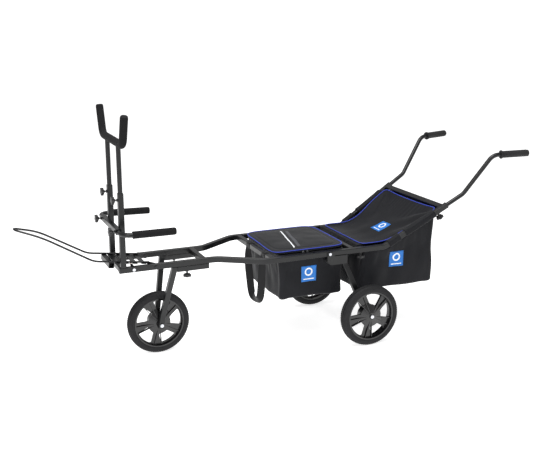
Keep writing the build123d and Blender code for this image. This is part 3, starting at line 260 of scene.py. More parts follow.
# %% [markdown]
# ## Tools for cloth
# A cloth piece starts as a grid of points: rows that run round or along the piece. The UV map takes the
# distances along and across those rows, in metres, so a pattern has the same size everywhere. Blender's
# cloth solver then lets the grid hang for a few frames. Growing it by a percent or two before it hangs gives
# the spare length that turns into soft wrinkles. A cap on how far a point may move keeps the cloth out of
# its neighbours.


# %% Grids, simulation and thickness
def grid_faces(row_count, width, across):
    """Four-sided faces between rows of points; across is the number of faces in a row."""
    faces = []
    for r in range(row_count - 1):
        for c in range(across):
            this, beside = r * width + c, r * width + (c + 1) % width
            faces.append((this, beside, beside + width, this + width))
    return faces


def from_grid(name, rows, finish, closed=False):
    """A mesh from rows of points, with the UV map "cloth" in metres. Closed rows join their two ends."""
    width = len(rows[0])
    across = width if closed else width - 1
    faces = grid_faces(len(rows), width, across)
    mesh = bpy.data.meshes.new(name)
    mesh.from_pydata([tuple(p) for row in rows for p in row], [], faces)
    along = [0.0]
    for c in range(width):
        along.append(along[-1] + (rows[0][(c + 1) % width] - rows[0][c]).length)
    middle = width // 4
    down = [0.0]
    for r in range(1, len(rows)):
        down.append(down[-1] + (rows[r][middle] - rows[r - 1][middle]).length)
    layer = mesh.uv_layers.new(name="cloth")
    corner = 0
    for r in range(len(rows) - 1):
        for c in range(across):
            for u, v in ((c, r), (c + 1, r), (c + 1, r + 1), (c, r + 1)):
                layer.data[corner].uv = (along[u], down[v])
                corner += 1
    mesh.materials.append(finish)
    mesh.polygons.foreach_set("use_smooth", [True] * len(faces))
    piece = bpy.data.objects.new(name, mesh)
    bpy.context.scene.collection.objects.link(piece)
    return piece


def hang(piece, pinned, frames, cap, grow, gravity=1.0):
    """Lets a cloth grid hang from its pinned points; no point ends further than cap from where it began."""
    start = [v.co.copy() for v in piece.data.vertices]
    group = piece.vertex_groups.new(name="pinned")
    group.add(pinned, 1.0, "REPLACE")
    cloth = piece.modifiers.new("hang", "CLOTH")
    cloth.settings.quality = 6
    cloth.settings.mass = 0.25
    cloth.settings.tension_stiffness = 18
    cloth.settings.compression_stiffness = 18
    cloth.settings.bending_stiffness = 1.5
    cloth.settings.shrink_min = -grow
    cloth.settings.vertex_group_mass = "pinned"
    cloth.settings.effector_weights.gravity = gravity
    cloth.point_cache.frame_end = frames
    for number in range(1, frames + 1):
        bpy.context.scene.frame_set(number)
    hung = piece.evaluated_get(bpy.context.evaluated_depsgraph_get())
    ends = [v.co.copy() for v in hung.data.vertices]
    piece.modifiers.remove(cloth)
    piece.vertex_groups.remove(group)
    for vertex, a, b in zip(piece.data.vertices, start, ends):
        step = b - a
        vertex.co = a + step * min(1.0, cap / max(step.length, 1e-9))
    bpy.context.scene.frame_set(1)


def finish_cloth(piece, thickness, level=1):
    """Gives the sheet its thickness and rounds it, then leaves one plain mesh."""
    solid = piece.modifiers.new("thickness", "SOLIDIFY")
    solid.thickness = thickness
    solid.offset = 0.0
    if level:
        smooth = piece.modifiers.new("smooth", "SUBSURF")
        smooth.levels = level
        smooth.render_levels = level
    make_plain(piece)


def make_plain(piece):
    """Applies every modifier."""
    done = bpy.data.meshes.new_from_object(piece.evaluated_get(bpy.context.evaluated_depsgraph_get()))
    piece.modifiers.clear()
    piece.data = done
    done.name = piece.name


def wrinkle(point, size, height):
    """A smooth random height for soft folds about this size; the same every run."""
    return noise.noise(Vector(point) / size) * height


# %% [markdown]
# Piping, thread and zip tape run along a line, and patches lie on a surface. `cord_line` makes a round line
# through points; `laid_on` drops points on a finished piece of cloth, so that a patch follows its folds.


# %% Lines and things that lie on cloth
def cord_line(name, points, radius, finish, closed=False):
    """A round line through points, as a mesh."""
    curve = bpy.data.curves.new(name, "CURVE")
    curve.dimensions = "3D"
    curve.bevel_depth = radius
    curve.bevel_resolution = 2
    curve.resolution_u = 3
    curve.use_fill_caps = True
    spline = curve.splines.new("NURBS")
    spline.points.add(len(points) - 1)
    for knot, point in zip(spline.points, points):
        knot.co = (*point, 1.0)
    spline.order_u = 3
    spline.use_cyclic_u = closed
    spline.use_endpoint_u = not closed
    line = bpy.data.objects.new(name + "_line", curve)
    bpy.context.scene.collection.objects.link(line)
    mesh = bpy.data.meshes.new_from_object(line.evaluated_get(bpy.context.evaluated_depsgraph_get()))
    bpy.data.objects.remove(line)
    mesh.materials.append(finish)
    mesh.polygons.foreach_set("use_smooth", [True] * len(mesh.polygons))
    made = bpy.data.objects.new(name, mesh)
    bpy.context.scene.collection.objects.link(made)
    return made


def surface_of(piece):
    return BVHTree.FromObject(piece, bpy.context.evaluated_depsgraph_get())


def laid_on(surface, points, out, lift):
    """Each point, moved against the direction out until it lies on the surface, then lifted a little."""
    out = Vector(out).normalized()
    reach = 0.08
    placed = []
    for point in points:
        hit = surface.ray_cast(Vector(point) + out * reach, -out, 3 * reach)[0]
        placed.append((hit if hit else Vector(point)) + out * lift)
    return placed


def ride_all(body, *pieces):
    for piece in pieces:
        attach(piece, body)


# %% [markdown]
# ## Geometry Nodes: pieces along a path
# Stitches, zip teeth and the ribs of the grips are all one small shape repeated along a line. One tree does
# them: it spreads points along the curve, puts the shape on each, turned along the line, and realises the
# copies, because an exported model holds no instances.


# %% The two trees
def new_tree(name, sockets):
    tree = bpy.data.node_groups.new(name, "GeometryNodeTree")
    for label, kind in sockets:
        tree.interface.new_socket(label, in_out="INPUT", socket_type=kind)
    tree.interface.new_socket("Geometry", in_out="OUTPUT", socket_type="NodeSocketGeometry")
    return tree, add_node(tree, "NodeGroupInput").outputs


def close_tree(tree, instances, finish):
    real = add_node(tree, "GeometryNodeRealizeInstances", {"Geometry": instances})
    painted = add_node(tree, "GeometryNodeSetMaterial", {"Geometry": real.outputs[0], "Material": finish})
    add_node(tree, "NodeGroupOutput", {"Geometry": painted.outputs[0]})


path_tree, given = new_tree("pieces_along_a_path", (
    ("Geometry", "NodeSocketGeometry"), ("Spacing", "NodeSocketFloat"), ("Piece", "NodeSocketObject"),
    ("Finish", "NodeSocketMaterial")))
shape = add_node(path_tree, "GeometryNodeObjectInfo", {"Object": given["Piece"]})
spread = add_node(path_tree, "GeometryNodeCurveToPoints", {"Curve": given["Geometry"],
                                                          "Length": given["Spacing"]}, mode="LENGTH")
copies = add_node(path_tree, "GeometryNodeInstanceOnPoints", {
    "Points": spread.outputs["Points"], "Instance": shape.outputs["Geometry"],
    "Rotation": spread.outputs["Rotation"]})
close_tree(path_tree, copies.outputs[0], given["Finish"])

axle_tree, given = new_tree("pieces_around_an_axle", (
    ("Geometry", "NodeSocketGeometry"), ("Count", "NodeSocketInt"), ("Centre", "NodeSocketVector"),
    ("Piece", "NodeSocketObject"), ("Finish", "NodeSocketMaterial")))
shape = add_node(axle_tree, "GeometryNodeObjectInfo", {"Object": given["Piece"]})
hubs = add_node(axle_tree, "GeometryNodePoints", {"Count": given["Count"], "Position": given["Centre"]})
number = add_node(axle_tree, "GeometryNodeInputIndex")
share = add_node(axle_tree, "ShaderNodeMath", {0: number.outputs[0], 1: given["Count"]}, operation="DIVIDE")
angle = add_node(axle_tree, "ShaderNodeMath", {0: share.outputs[0], 1: 2 * math.pi}, operation="MULTIPLY")
turn = add_node(axle_tree, "ShaderNodeCombineXYZ", {"Y": angle.outputs[0]})
copies = add_node(axle_tree, "GeometryNodeInstanceOnPoints", {
    "Points": hubs.outputs[0], "Instance": shape.outputs["Geometry"], "Rotation": turn.outputs[0]})
close_tree(axle_tree, copies.outputs[0], given["Finish"])


def grow_tree(name, tree, base, values):
    """Runs a tree on base and keeps the result as one plain mesh called name."""
    modifier = base.modifiers.new("tree", "NODES")
    modifier.node_group = tree
    for socket in tree.interface.items_tree:
        if socket.in_out == "INPUT" and socket.name in values:
            modifier[socket.identifier] = values[socket.name]
    mesh = bpy.data.meshes.new_from_object(base.evaluated_get(bpy.context.evaluated_depsgraph_get()))
    bpy.data.objects.remove(base)
    made = bpy.data.objects.new(name, mesh)
    bpy.context.scene.collection.objects.link(made)
    return made


def along_path(name, points, spacing, piece, finish, closed=False):
    curve = bpy.data.curves.new(name + "_path", "CURVE")
    curve.dimensions = "3D"
    spline = curve.splines.new("POLY")
    spline.points.add(len(points) - 1)
    for knot, point in zip(spline.points, points):
        knot.co = (*point, 1.0)
    spline.use_cyclic_u = closed
    base = bpy.data.objects.new(name + "_path", curve)
    bpy.context.scene.collection.objects.link(base)
    return grow_tree(name, path_tree, base, {"Spacing": spacing, "Piece": piece, "Finish": finish})


def small_shape(name, profile, sides=6):
    """A little round shape along Z from (radius, height) pairs, closed at both ends."""
    rows = [[Vector((radius * math.cos(a), radius * math.sin(a), height))
             for a in (2 * math.pi * s / sides for s in range(sides))] for radius, height in profile]
    points = [p for row in rows for p in row]
    faces = grid_faces(len(rows), sides, sides)
    faces += [tuple(reversed(range(sides))), tuple(range(len(points) - sides, len(points)))]
    mesh = bpy.data.meshes.new(name)
    mesh.from_pydata(points, [], faces)
    mesh.polygons.foreach_set("use_smooth", [True] * len(faces))
    return bpy.data.objects.new(name, mesh)


stitch_shape = small_shape("stitch_shape", [(0.2 * mm, -1.9 * mm), (0.55 * mm, -1.1 * mm), (0.6 * mm, 0),
                                           (0.55 * mm, 1.1 * mm), (0.2 * mm, 1.9 * mm)])
print("trees:", path_tree.name, axle_tree.name)

# %% [markdown]
# ## Tyres and grips
# The tyre's body is CAD. Its tread has fine cross bars on both shoulders, moulded in one with the rubber:
# one bar is shaped to the tyre's crown and turned around the axle. Each grip has low moulded rings.

# %% Tread bars
tread_count = 84
bar_width = 5.0 * mm
bar_lift = 1.0 * mm
crown_drop = 7.0 * mm       # how far the tread falls from its middle to its shoulder
crown_half = 22.0 * mm
for name in ("front", "left", "right"):
    low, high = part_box(f"{name}_tyre")
    centre = (low + high) / 2
    radius = (high.z - low.z) / 2
    for side, label in ((-1, "near"), (1, "far")):
        rows = []
        for y in (11.0 * mm, 15.0 * mm, 19.0 * mm, 21.5 * mm):
            top = radius - crown_drop * (y / crown_half) ** 2
            section = ((-bar_width / 2, top - 1.5 * mm), (-bar_width / 3, top + bar_lift),
                       (bar_width / 3, top + bar_lift), (bar_width / 2, top - 1.5 * mm))
            rows.append([Vector((x, side * y, z)) for x, z in section])
        if side > 0:
            rows = [list(reversed(row)) for row in rows]
        bar = from_grid("bar", rows, tyre_rubber)
        base = bpy.data.objects.new("base", bpy.data.meshes.new("base"))
        bpy.context.scene.collection.objects.link(base)
        tread = grow_tree(f"{name}_tread_{label}", axle_tree, base, {
            "Count": tread_count, "Centre": tuple(centre), "Piece": bar, "Finish": tyre_rubber})
        bpy.data.objects.remove(bar)
        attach(tread, f"{name}_wheel")
print("tread bars:", 6 * tread_count)

# %% Rings on the grips
ring_pitch = 7.0 * mm
ring_foot, ring_top = 16.0 * mm, 17.3 * mm
ring_shape = small_shape("ring_shape", [(ring_foot, -1.6 * mm), (ring_top, -0.8 * mm), (ring_top, 0.8 * mm),
                                        (ring_foot, 1.6 * mm)], sides=28)
tube_way = {}
tube_place = {}
for side, name in ((-1, "left"), (1, "right")):
    tube_way[side] = Vector(joints[f"{name}_handle_slide"]["axis"]).normalized()
    tube_place[side] = Vector(joints[f"{name}_handle_knob_turn"]["pos_m"])
    low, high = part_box(f"{name}_grip")
    outer, inner = (low.y, high.y) if side < 0 else (high.y, low.y)
    start = Vector((low.x, inner + side * 21 * mm, low.z + 21 * mm))
    end = Vector((high.x, outer - side * 16.5 * mm, high.z - 17.5 * mm))
    way = (end - start).normalized()
    rings = along_path(f"{name}_grip_rings", [start + way * 16 * mm, end - way * 14 * mm], ring_pitch,
                       ring_shape, grip_rubber)
    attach(rings, f"{name}_handle")

# %% [markdown]
# ## Sleeves
# Two fabric sleeves wrap each slanted tube, with bare tube between them, and one wraps the cross tube at
# the front of the rear bag. A sleeve is a rounded square skin with a hem at each end; the cloth stands off
# the tube in small wrinkles, and never goes into it.

# %% Sleeves round the tubes
sleeve_half = 15.6 * mm


def square_ring(centre, across, up, half, count=28):
    """Points round a rounded square."""
    ring = []
    for step in range(count):
        a = 2 * math.pi * (step + 0.5) / count
        c, s = math.cos(a), math.sin(a)
        power = 5.0
        reach = half / (abs(c) ** power + abs(s) ** power) ** (1 / power)
        ring.append(centre + across * (reach * c) + up * (reach * s))
    return ring


def tube_sleeve(name, start, end, across):
    way = (end - start).normalized()
    up = way.cross(across).normalized()
    length = (end - start).length
    count = max(8, round(length / (6 * mm)))
    rows = []
    for r in range(count + 1):
        centre = start + way * (length * r / count)
        hem = 0.7 * mm if r in (1, 2, count - 1, count - 2) else 0.0
        ring = square_ring(centre, across, up, sleeve_half + hem)
        rows.append([p + (p - centre).normalized() * abs(wrinkle(p, 22 * mm, 1.8 * mm)) for p in ring])
    sleeve = from_grid(name, rows, bag_cloth, closed=True)
    finish_cloth(sleeve, 1.6 * mm)
    return sleeve


def tube_across(side):
    """The slanted tube's own sideways direction: Y, turned with the tube through its bend."""
    along = Vector((1, 0, 0))
    return Matrix.Rotation(along.angle(tube_way[side]), 3, along.cross(tube_way[side])) @ Vector((0, 1, 0))


sleeve_low, sleeve_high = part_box("tube_sleeves")
for side, name in ((-1, "left"), (1, "right")):
    way = tube_way[side]
    first = tube_place[side] + way * ((sleeve_low.x + 9 * mm - tube_place[side].x) / way.x)
    last = tube_place[side] + way * ((sleeve_high.x - 9 * mm - tube_place[side].x) / way.x)
    gap_start = first + way * 68 * mm
    gap_end = first + way * 98 * mm
    lower = tube_sleeve(f"{name}_sleeve_low", first, gap_start, tube_across(side))
    upper = tube_sleeve(f"{name}_sleeve_high", gap_end, last, tube_across(side))
    ride_all("back_frame", lower, upper)
    if side < 0:
        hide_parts("tube_sleeves")
low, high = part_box("bar_sleeve")
middle = (low + high) / 2
bar_wrap = tube_sleeve("bar_wrap", Vector((middle.x, low.y, middle.z)),
                       Vector((middle.x, high.y, middle.z)), Vector((1, 0, 0)))
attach(bar_wrap, "chassis")
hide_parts("bar_sleeve")

# %% [markdown]
# ## Basket and rear bag
# Both are sewn bags that hang from their top edge. Each is a closed row of points round the top, which
# runs down the walls to the bottom edge and then in under the bag to its middle. The walls start with
# gentle folds, the bottom sags, and the solver adds the wrinkles.


# %% A hanging bag
def rounded_outline(corners, radius, count):
    """Even points round a polygon whose corners are rounded."""
    path = []
    for index, corner in enumerate(corners):
        before = Vector(corners[index - 1]) - Vector(corner)
        after = Vector(corners[(index + 1) % len(corners)]) - Vector(corner)
        start = Vector(corner) + before.normalized() * radius
        end = Vector(corner) + after.normalized() * radius
        for step in range(7):
            t = step / 6
            path.append(start * (1 - t) ** 2 + Vector(corner) * (2 * t * (1 - t)) + end * t ** 2)
    lengths = [(path[(i + 1) % len(path)] - path[i]).length for i in range(len(path))]
    pitch = sum(lengths) / count
    points, index, used = [], 0, 0.0
    for step in range(count):
        target = step * pitch
        while used + lengths[index] < target:
            used += lengths[index]
            index += 1
        t = (target - used) / lengths[index]
        points.append(path[index].lerp(path[(index + 1) % len(path)], t))
    return points


def hanging_bag(name, top, bottom, middle_line, fold, sag, wall_rows=26, floor_rows=12):
    """Walls from the top ring to the bottom ring, and a floor that closes on a middle line."""
    rows = []
    count = len(top)
    centre = sum(top, Vector()) / count
    for r in range(wall_rows + 1):
        t = r / wall_rows
        row = []
        for a, b in zip(top, bottom):
            point = a.lerp(b, t)
            outward = Vector((point.x - centre.x, point.y - centre.y, 0)).normalized()
            swell = math.sin(math.pi * t) * wrinkle((point.x, point.y, point.z * 0.35), 70 * mm, fold)
            row.append(point + outward * swell)
        rows.append(row)
    for r in range(1, floor_rows + 1):
        t = r / floor_rows
        row = []
        for point in bottom:
            target = Vector((min(max(point.x, middle_line[0]), middle_line[1]), 0, point.z))
            place = point.lerp(target, t * 0.999)
            place.z = point.z - sag * math.sin(math.pi / 2 * t)
            row.append(place)
        rows.append(row)
    return from_grid(name, rows, bag_cloth, closed=True)


ring_count = 132
top_rows = list(range(2 * ring_count))      # the two highest rows are sewn to the hem and stay put
hang_frames = 22
wall_cap = 9 * mm
basket_growth = 0.018       # the share by which the cloth is longer than its frame
bag_growth = 0.015

# %% Basket
low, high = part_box("basket")
front_x, rear_x = low.x + 20 * mm, high.x - 22 * mm
half_y = high.y - 4 * mm
outline = rounded_outline([(front_x, -half_y), (rear_x, -half_y), (rear_x, half_y), (front_x, half_y)],
                          26 * mm, ring_count)
top = [Vector((p.x, p.y, high.z - 3 * mm)) for p in outline]
bottom = []
inset = 7 * mm              # the bottom edge is drawn in at the front and sides, and pushed out at the rear
rear_bulge = 10 * mm
for p in outline:
    along = (p.x - front_x) / (rear_x - front_x)
    bottom.append(Vector((p.x + inset * (1 - along) + rear_bulge * along, p.y * (1 - inset / half_y),
                          low.z + 5 * mm + wrinkle((p.x, p.y, 1), 90 * mm, 6 * mm))))
middle_line = (front_x + half_y * 0.8, rear_x - half_y * 0.8)
basket = hanging_bag("basket_cloth", top, bottom, middle_line, fold=13 * mm, sag=7 * mm)
hang(basket, top_rows, hang_frames, wall_cap, basket_growth)
basket_surface = surface_of(basket)
finish_cloth(basket, 2 * mm)
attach(basket, "chassis")
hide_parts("basket")
hem_line = [Vector((p.x, p.y, high.z - 4 * mm)) for p in top]
basket_hem = cord_line("basket_hem", hem_line, 3.2 * mm, bag_cloth, closed=True)
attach(basket_hem, "chassis")

# %% [markdown]
# The rear bag's top edge runs level under the rails and then rises under the slanted tubes. A short flap of
# the same cloth closes the gap between its rear edge and the top bar.

# %% Rear bag
low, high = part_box("rear_bag")
bar_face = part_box("bar_sleeve")[1].x
front_top, rear_top = bar_face + 3 * mm, high.x - 12 * mm
front_low, rear_low = low.x + 2 * mm, high.x - 2 * mm
wide = high.y - 2 * mm
narrow = wide - 32 * mm
flare_start, flare_end = front_top + 12 * mm, front_top + 52 * mm
slope = tube_way[1].z / tube_way[1].x
edge_drop = tube_place[1].z + slope * (high.x - 10 * mm - tube_place[1].x) - high.z
rail_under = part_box("left_side_rail")[0].z + 5 * mm


def bag_edge_z(x):
    """Height of the bag's top edge: level under the rails, then rising along the slanted tubes."""
    rising = tube_place[1].z + slope * (x - tube_place[1].x) - edge_drop - 2 * mm
    return max(rail_under - 2 * mm, rising)


right_corners = [(rear_top, wide), (flare_end, wide), (flare_start, narrow), (front_top, narrow)]
left_corners = [(x, -y) for x, y in reversed(right_corners)]
outline = rounded_outline(left_corners + right_corners, 9 * mm, ring_count)
top = []
bottom = []
for p in outline:
    along = (p.x - front_top) / (rear_top - front_top)
    top.append(Vector((p.x, p.y, bag_edge_z(p.x))))
    bottom.append(Vector((front_low + along * (rear_low - front_low), p.y * 0.985,
                          low.z + 7 * mm + wrinkle((p.x, p.y, 5), 110 * mm, 7 * mm))))
middle_line = (front_low + wide * 0.9, rear_low - wide * 0.9)
rear_bag = hanging_bag("rear_bag_cloth", top, bottom, middle_line, fold=17 * mm, sag=6 * mm)
hang(rear_bag, top_rows, hang_frames, wall_cap, bag_growth)
rear_bag_surface = surface_of(rear_bag)
finish_cloth(rear_bag, 2 * mm)
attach(rear_bag, "back_frame")
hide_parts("rear_bag")
hem_line = [p - Vector((0, 0, 1 * mm)) for p in top]
bag_hem = cord_line("rear_bag_hem", hem_line, 2.6 * mm, bag_cloth, closed=True)
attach(bag_hem, "back_frame")
bar_low, bar_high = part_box("back_top_bar")
flap_top = Vector(((bar_low.x + bar_high.x) / 2 - 4 * mm, 0, bar_low.z + 5 * mm))
flap_foot = Vector((rear_top - 1 * mm, 0, bag_edge_z(rear_top) - 3 * mm))
flap_half = wide - 8 * mm
flap_rows, flap_columns = 6, 40
rows = [[flap_top.lerp(flap_foot, r / flap_rows) + Vector((0, flap_half * (2 * c / flap_columns - 1), 0))
         for c in range(flap_columns + 1)] for r in range(flap_rows + 1)]
bag_flap = from_grid("rear_bag_flap", rows, bag_cloth)
finish_cloth(bag_flap, 2 * mm, level=0)
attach(bag_flap, "back_frame")
print("bags done")

# %% [markdown]
# ## The cover of the rear bag
# One sheet spans from the front cross tube up to the top bar, and sags between them like a seat. Its long
# sides follow the slanted tubes, its back edge droops between the two corners, and folds run from each top
# corner. Blue piping is sewn round its edge.

# %% Cover sheet
low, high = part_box("bag_cover")
front_point = Vector(joints["cover_open"]["pos_m"])
rear_point = Vector((high.x - 3 * mm, 0, high.z - 5 * mm))
cover_rows, cover_columns = 56, 44
front_half = 205 * mm
rear_half = 243 * mm
corner_cut = 42 * mm
sag_depth = 44 * mm
bend_share = 0.28           # where the slanted tubes begin, as a share of the cover's length
waist = 12 * mm             # how far the long sides are drawn in and down at mid length
fold_height, fold_reach = 8 * mm, 0.2
cover_growth = 0.012


def cover_point(s, w):
    """s runs 0 to 1 from the front edge to the back edge, w runs -1 to 1 from the left to the right."""
    half = front_half + (rear_half - front_half) * max(0.0, (s - bend_share) / (1 - bend_share))
    half -= waist * math.exp(-((s - 0.5) / 0.2) ** 2)
    length = rear_point.x - front_point.x
    edge_in = corner_cut * max(0.0, abs(w) - 0.8) ** 2 * 12
    first = front_point.x + edge_in * 0.5
    last = rear_point.x - edge_in * 0.35
    x = first + (last - first) * s
    chord = front_point.z + 1.5 * mm + (rear_point.z - front_point.z) * (x - front_point.x) / length
    belly = 4 * s * (1 - s) * sag_depth
    droop = 8 * mm * s ** 6
    rising = tube_place[1].z + slope * (x - tube_place[1].x) + 9 * mm - front_point.z
    side_z = front_point.z + (rising + math.hypot(rising, 24 * mm)) / 2 - 5 * mm * s
    side_z -= waist * math.exp(-((s - 0.5) / 0.22) ** 2)
    middle_z = chord - belly - droop
    folds = 0.0
    for side in (-1, 1):
        dx, dy = (1 - s) * length, (side - w) * half
        far = math.hypot(dx, dy)
        fan = math.sin(9 * math.atan2(dy * side, dx + 1e-6))
        folds += fold_height * fan * math.exp(-(far / fold_reach) ** 2)
    folds += wrinkle((x, w * half, 3), 90 * mm, 6 * mm)
    rim = min(1.0, 6 * s, 6 * (1 - s), 6 * (1 - abs(w)))
    return Vector((x, w * half, middle_z + (side_z - middle_z) * abs(w) ** 3 + folds * rim))


rows = [[cover_point(r / cover_rows, 2 * c / cover_columns - 1) for c in range(cover_columns + 1)]
        for r in range(cover_rows + 1)]
cover = from_grid("bag_cover_cloth", rows, bag_cloth)
width = cover_columns + 1
edge = [r * width + c for r in range(cover_rows + 1) for c in range(width)
        if r in (0, cover_rows) or c in (0, cover_columns)]
hang(cover, edge, 20, 10 * mm, cover_growth)
cover_surface = surface_of(cover)
cover_grid = [[cover.data.vertices[r * width + c].co.copy() for c in range(width)]
              for r in range(cover_rows + 1)]
finish_cloth(cover, 2 * mm)
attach(cover, "cover")
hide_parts("bag_cover")

# %% Piping round the cover
lift = Vector((0, 0, 2.2 * mm))
left_side = [row[0] + lift for row in cover_grid]
right_side = [row[-1] + lift for row in cover_grid]
back_edge = [p + lift for p in cover_grid[-1]]
front_edge = [p + lift for p in cover_grid[0]]
cover_rim = left_side[2:-1:2] + back_edge[1:-1:2] + right_side[-2:2:-2] + list(reversed(front_edge[1:-1:2]))
cover_piping = cord_line("cover_piping", cover_rim, 2.3 * mm, blue_piping, closed=True)
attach(cover_piping, "cover")

# %% [markdown]
# ## The basket's lid
# The lid is a thin foam pad in cloth, zipped round its edge. It is crowned in the middle and thin at the
# rim, its front left corner droops, and blue piping marks the seam round the top. A zip with two pullers
# runs under the piping on the left.

# %% Lid pad
low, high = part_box("basket_lid")
lid_middle = (low + high) / 2
lid_half_x, lid_half_y = (high.x - low.x) / 2, (high.y - low.y) / 2
lid_rows, lid_columns = 40, 96


def lid_outline(share, angle):
    """A point of the lid's rounded outline, scaled towards its middle by share."""
    c, s = math.cos(angle), math.sin(angle)
    power = 7.0
    reach = (abs(c) ** power + abs(s) ** power) ** (-1 / power)
    return Vector((lid_middle.x + lid_half_x * reach * c * share, lid_half_y * reach * s * share, 0))


def lid_droop(point):
    """The front left corner hangs lower than the rest."""
    ahead = max(0.0, min(1.0, (low.x + 90 * mm - point.x) / (90 * mm)))
    left = max(0.0, min(1.0, (60 * mm - point.y) / (200 * mm)))
    return 7 * mm * ahead * ahead * left * left * (3 - 2 * left)


def lid_top(share, angle):
    point = lid_outline(share, angle)
    crown = 8 * mm * (1 - share ** 4)
    channel = 2.5 * mm * math.exp(-((share - 0.86) / 0.018) ** 2)
    soft = wrinkle((point.x, point.y, 2), 60 * mm, 2.2 * mm) * (1 - share ** 8)
    point.z = high.z - 8 * mm + crown - channel + soft - lid_droop(point)
    return point


angles = [2 * math.pi * c / lid_columns for c in range(lid_columns)]
shares = [1 - 0.997 * (r / lid_rows) for r in range(lid_rows + 1)]
rows = [[lid_outline(share, a) + Vector((0, 0, low.z + 1.0 * mm)) for a in angles]
        for share in (0.02, 0.5, 0.97)]
for height in (0.15, 0.4, 0.65, 0.9):
    rows.append([lid_outline(0.985 + 0.02 * math.sin(math.pi * height), a)
                 + Vector((0, 0, low.z + height * (lid_top(1, a).z - low.z))) for a in angles])
rows += [[lid_top(share, a) for a in angles] for share in shares]
lid = from_grid("lid_pad", rows, lid_cloth, closed=True)
if lid.data.polygons[-1].normal.z < 0:
    lid.data.flip_normals()
lid_surface = surface_of(lid)
smooth = lid.modifiers.new("smooth", "SUBSURF")
smooth.levels = smooth.render_levels = 1
make_plain(lid)
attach(lid, "lid")
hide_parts("basket_lid")

# %% Piping, stripes, zip and pullers
rim = [lid_top(1.0, a) + Vector((0, 0, 1.2 * mm)) for a in angles]
lid_piping = cord_line("lid_piping", rim, 2.3 * mm, blue_piping, closed=True)
stripes = []
stripe_way = Vector((0.19, 0.98, 0))
stripe_x, stripe_y = 0.069, -0.016
grey_stripe = (stripe_x + 28 * mm, 135 * mm, 9 * mm, grey_print)
white_stripe = (stripe_x, 146 * mm, 3.5 * mm, white_print)
for index, (x, half, bar_half, finish) in enumerate((grey_stripe, white_stripe)):
    line = [[Vector((x + dx, stripe_y, high.z)) + stripe_way * (half * (c / 20 - 1)) for c in range(41)]
            for dx in (-bar_half, 0, bar_half)]
    laid = [laid_on(lid_surface, row, (0, 0, 1), 0.5 * mm) for row in line]
    stripe = from_grid(f"lid_stripe_{index}", laid, finish)
    if stripe.data.polygons[0].normal.z < 0:
        stripe.data.flip_normals()
    finish_cloth(stripe, 0.4 * mm, level=0)
    stripes.append(stripe)
tooth = small_shape("tooth", [(0.9 * mm, -0.8 * mm), (1.4 * mm, 0), (0.9 * mm, 0.8 * mm)], sides=6)
zip_line = [lid_outline(1.006, a) + Vector((0, 0, low.z + 0.45 * (lid_top(1, a).z - low.z)))
            for a in angles if math.sin(a) < 0.35]
start = max(range(len(zip_line)), key=lambda i: (zip_line[i] - zip_line[i - 1]).length)
zip_line = zip_line[start:] + zip_line[:start]
lid_zip = along_path("lid_zip", zip_line, 2.8 * mm, tooth, dark_thread)
pullers = []
for index, x in enumerate((lid_middle.x - 44 * mm, lid_middle.x - 22 * mm)):
    top_point = Vector((x, low.y - 1.5 * mm, low.z + 9 * mm))
    loop = [top_point] + [top_point + Vector(step) * mm
                          for step in ((3, -2, -4), (3, -3, -13), (-3, -3, -13), (-3, -2, -4))]
    pullers.append(cord_line(f"lid_puller_{index}", loop, 1.1 * mm, puller_steel, closed=True))
ride_all("lid", lid_piping, lid_zip, *stripes, *pullers)
print("lid done")

# %% [markdown]
# ## Patches
# A woven blue square is sewn on the basket, the rear bag and the cover. Its mark is a plain ring over a
# bar. Each patch is a small grid dropped on the cloth, so that it follows the folds, with stitches round it.


# %% Sewn patches
def sewn_patch(name, surface, centre, across, out, size, body):
    """A square patch centred at a place on the cloth; across is its level direction, out faces the viewer."""
    out = Vector(out).normalized()
    across = Vector(across).normalized()
    up = out.cross(across).normalized()
    centre = Vector(centre)

    def strip(label, points, lift, finish, thickness):
        piece = from_grid(f"{name}_{label}", [laid_on(surface, row, out, lift) for row in points], finish)
        if piece.data.polygons[0].normal.dot(out) < 0:
            piece.data.flip_normals()
        finish_cloth(piece, thickness, level=0)
        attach(piece, body)

    half = size / 2
    steps = [half * (2 * i / 14 - 1) for i in range(15)]
    ground = [[centre + across * u + up * v for u in steps] for v in steps]
    strip("ground", ground, 1.6 * mm, blue_patch, 1.0 * mm)
    around = [2 * math.pi * i / 40 for i in range(41)]
    ring = [[centre + up * 9 * mm + (across * math.cos(a) + up * math.sin(a)) * r for a in around]
            for r in (half * 0.34, half * 0.44, half * 0.54)]
    strip("ring", ring, 2.4 * mm, white_print, 0.4 * mm)
    bar = [[centre + across * u * 0.72 + up * (-half * 0.68 + v) for u in steps]
           for v in (-2.5 * mm, 0, 2.5 * mm)]
    strip("bar", bar, 2.4 * mm, white_print, 0.4 * mm)
    inset = half - 3 * mm
    turn = [(-inset, -inset), (inset, -inset), (inset, inset), (-inset, inset), (-inset, -inset)]
    seam = []
    for (u0, v0), (u1, v1) in zip(turn, turn[1:]):
        for i in range(8):
            u, v = u0 + (u1 - u0) * i / 8, v0 + (v1 - v0) * i / 8
            seam.append(centre + across * u + up * v)
    stitches = along_path(f"{name}_stitches", laid_on(surface, seam, out, 2.6 * mm), 6 * mm, stitch_shape,
                          blue_patch, closed=True)
    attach(stitches, body)


patch_size = 78 * mm
basket_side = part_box("basket")[0].y
bag_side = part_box("rear_bag")[0].y
sewn_patch("basket_patch", basket_surface, (0.103, basket_side, 0.356), (1, 0, 0), (0, -1, 0), patch_size,
           "chassis")
sewn_patch("bag_patch", rear_bag_surface, (0.570, bag_side, 0.382), (1, 0, 0), (0, -1, 0), patch_size,
           "back_frame")
sewn_patch("cover_patch", cover_surface, (0.585, -0.027, 0.512), (0, -1, 0), (-0.35, 0, 1), patch_size,
           "cover")

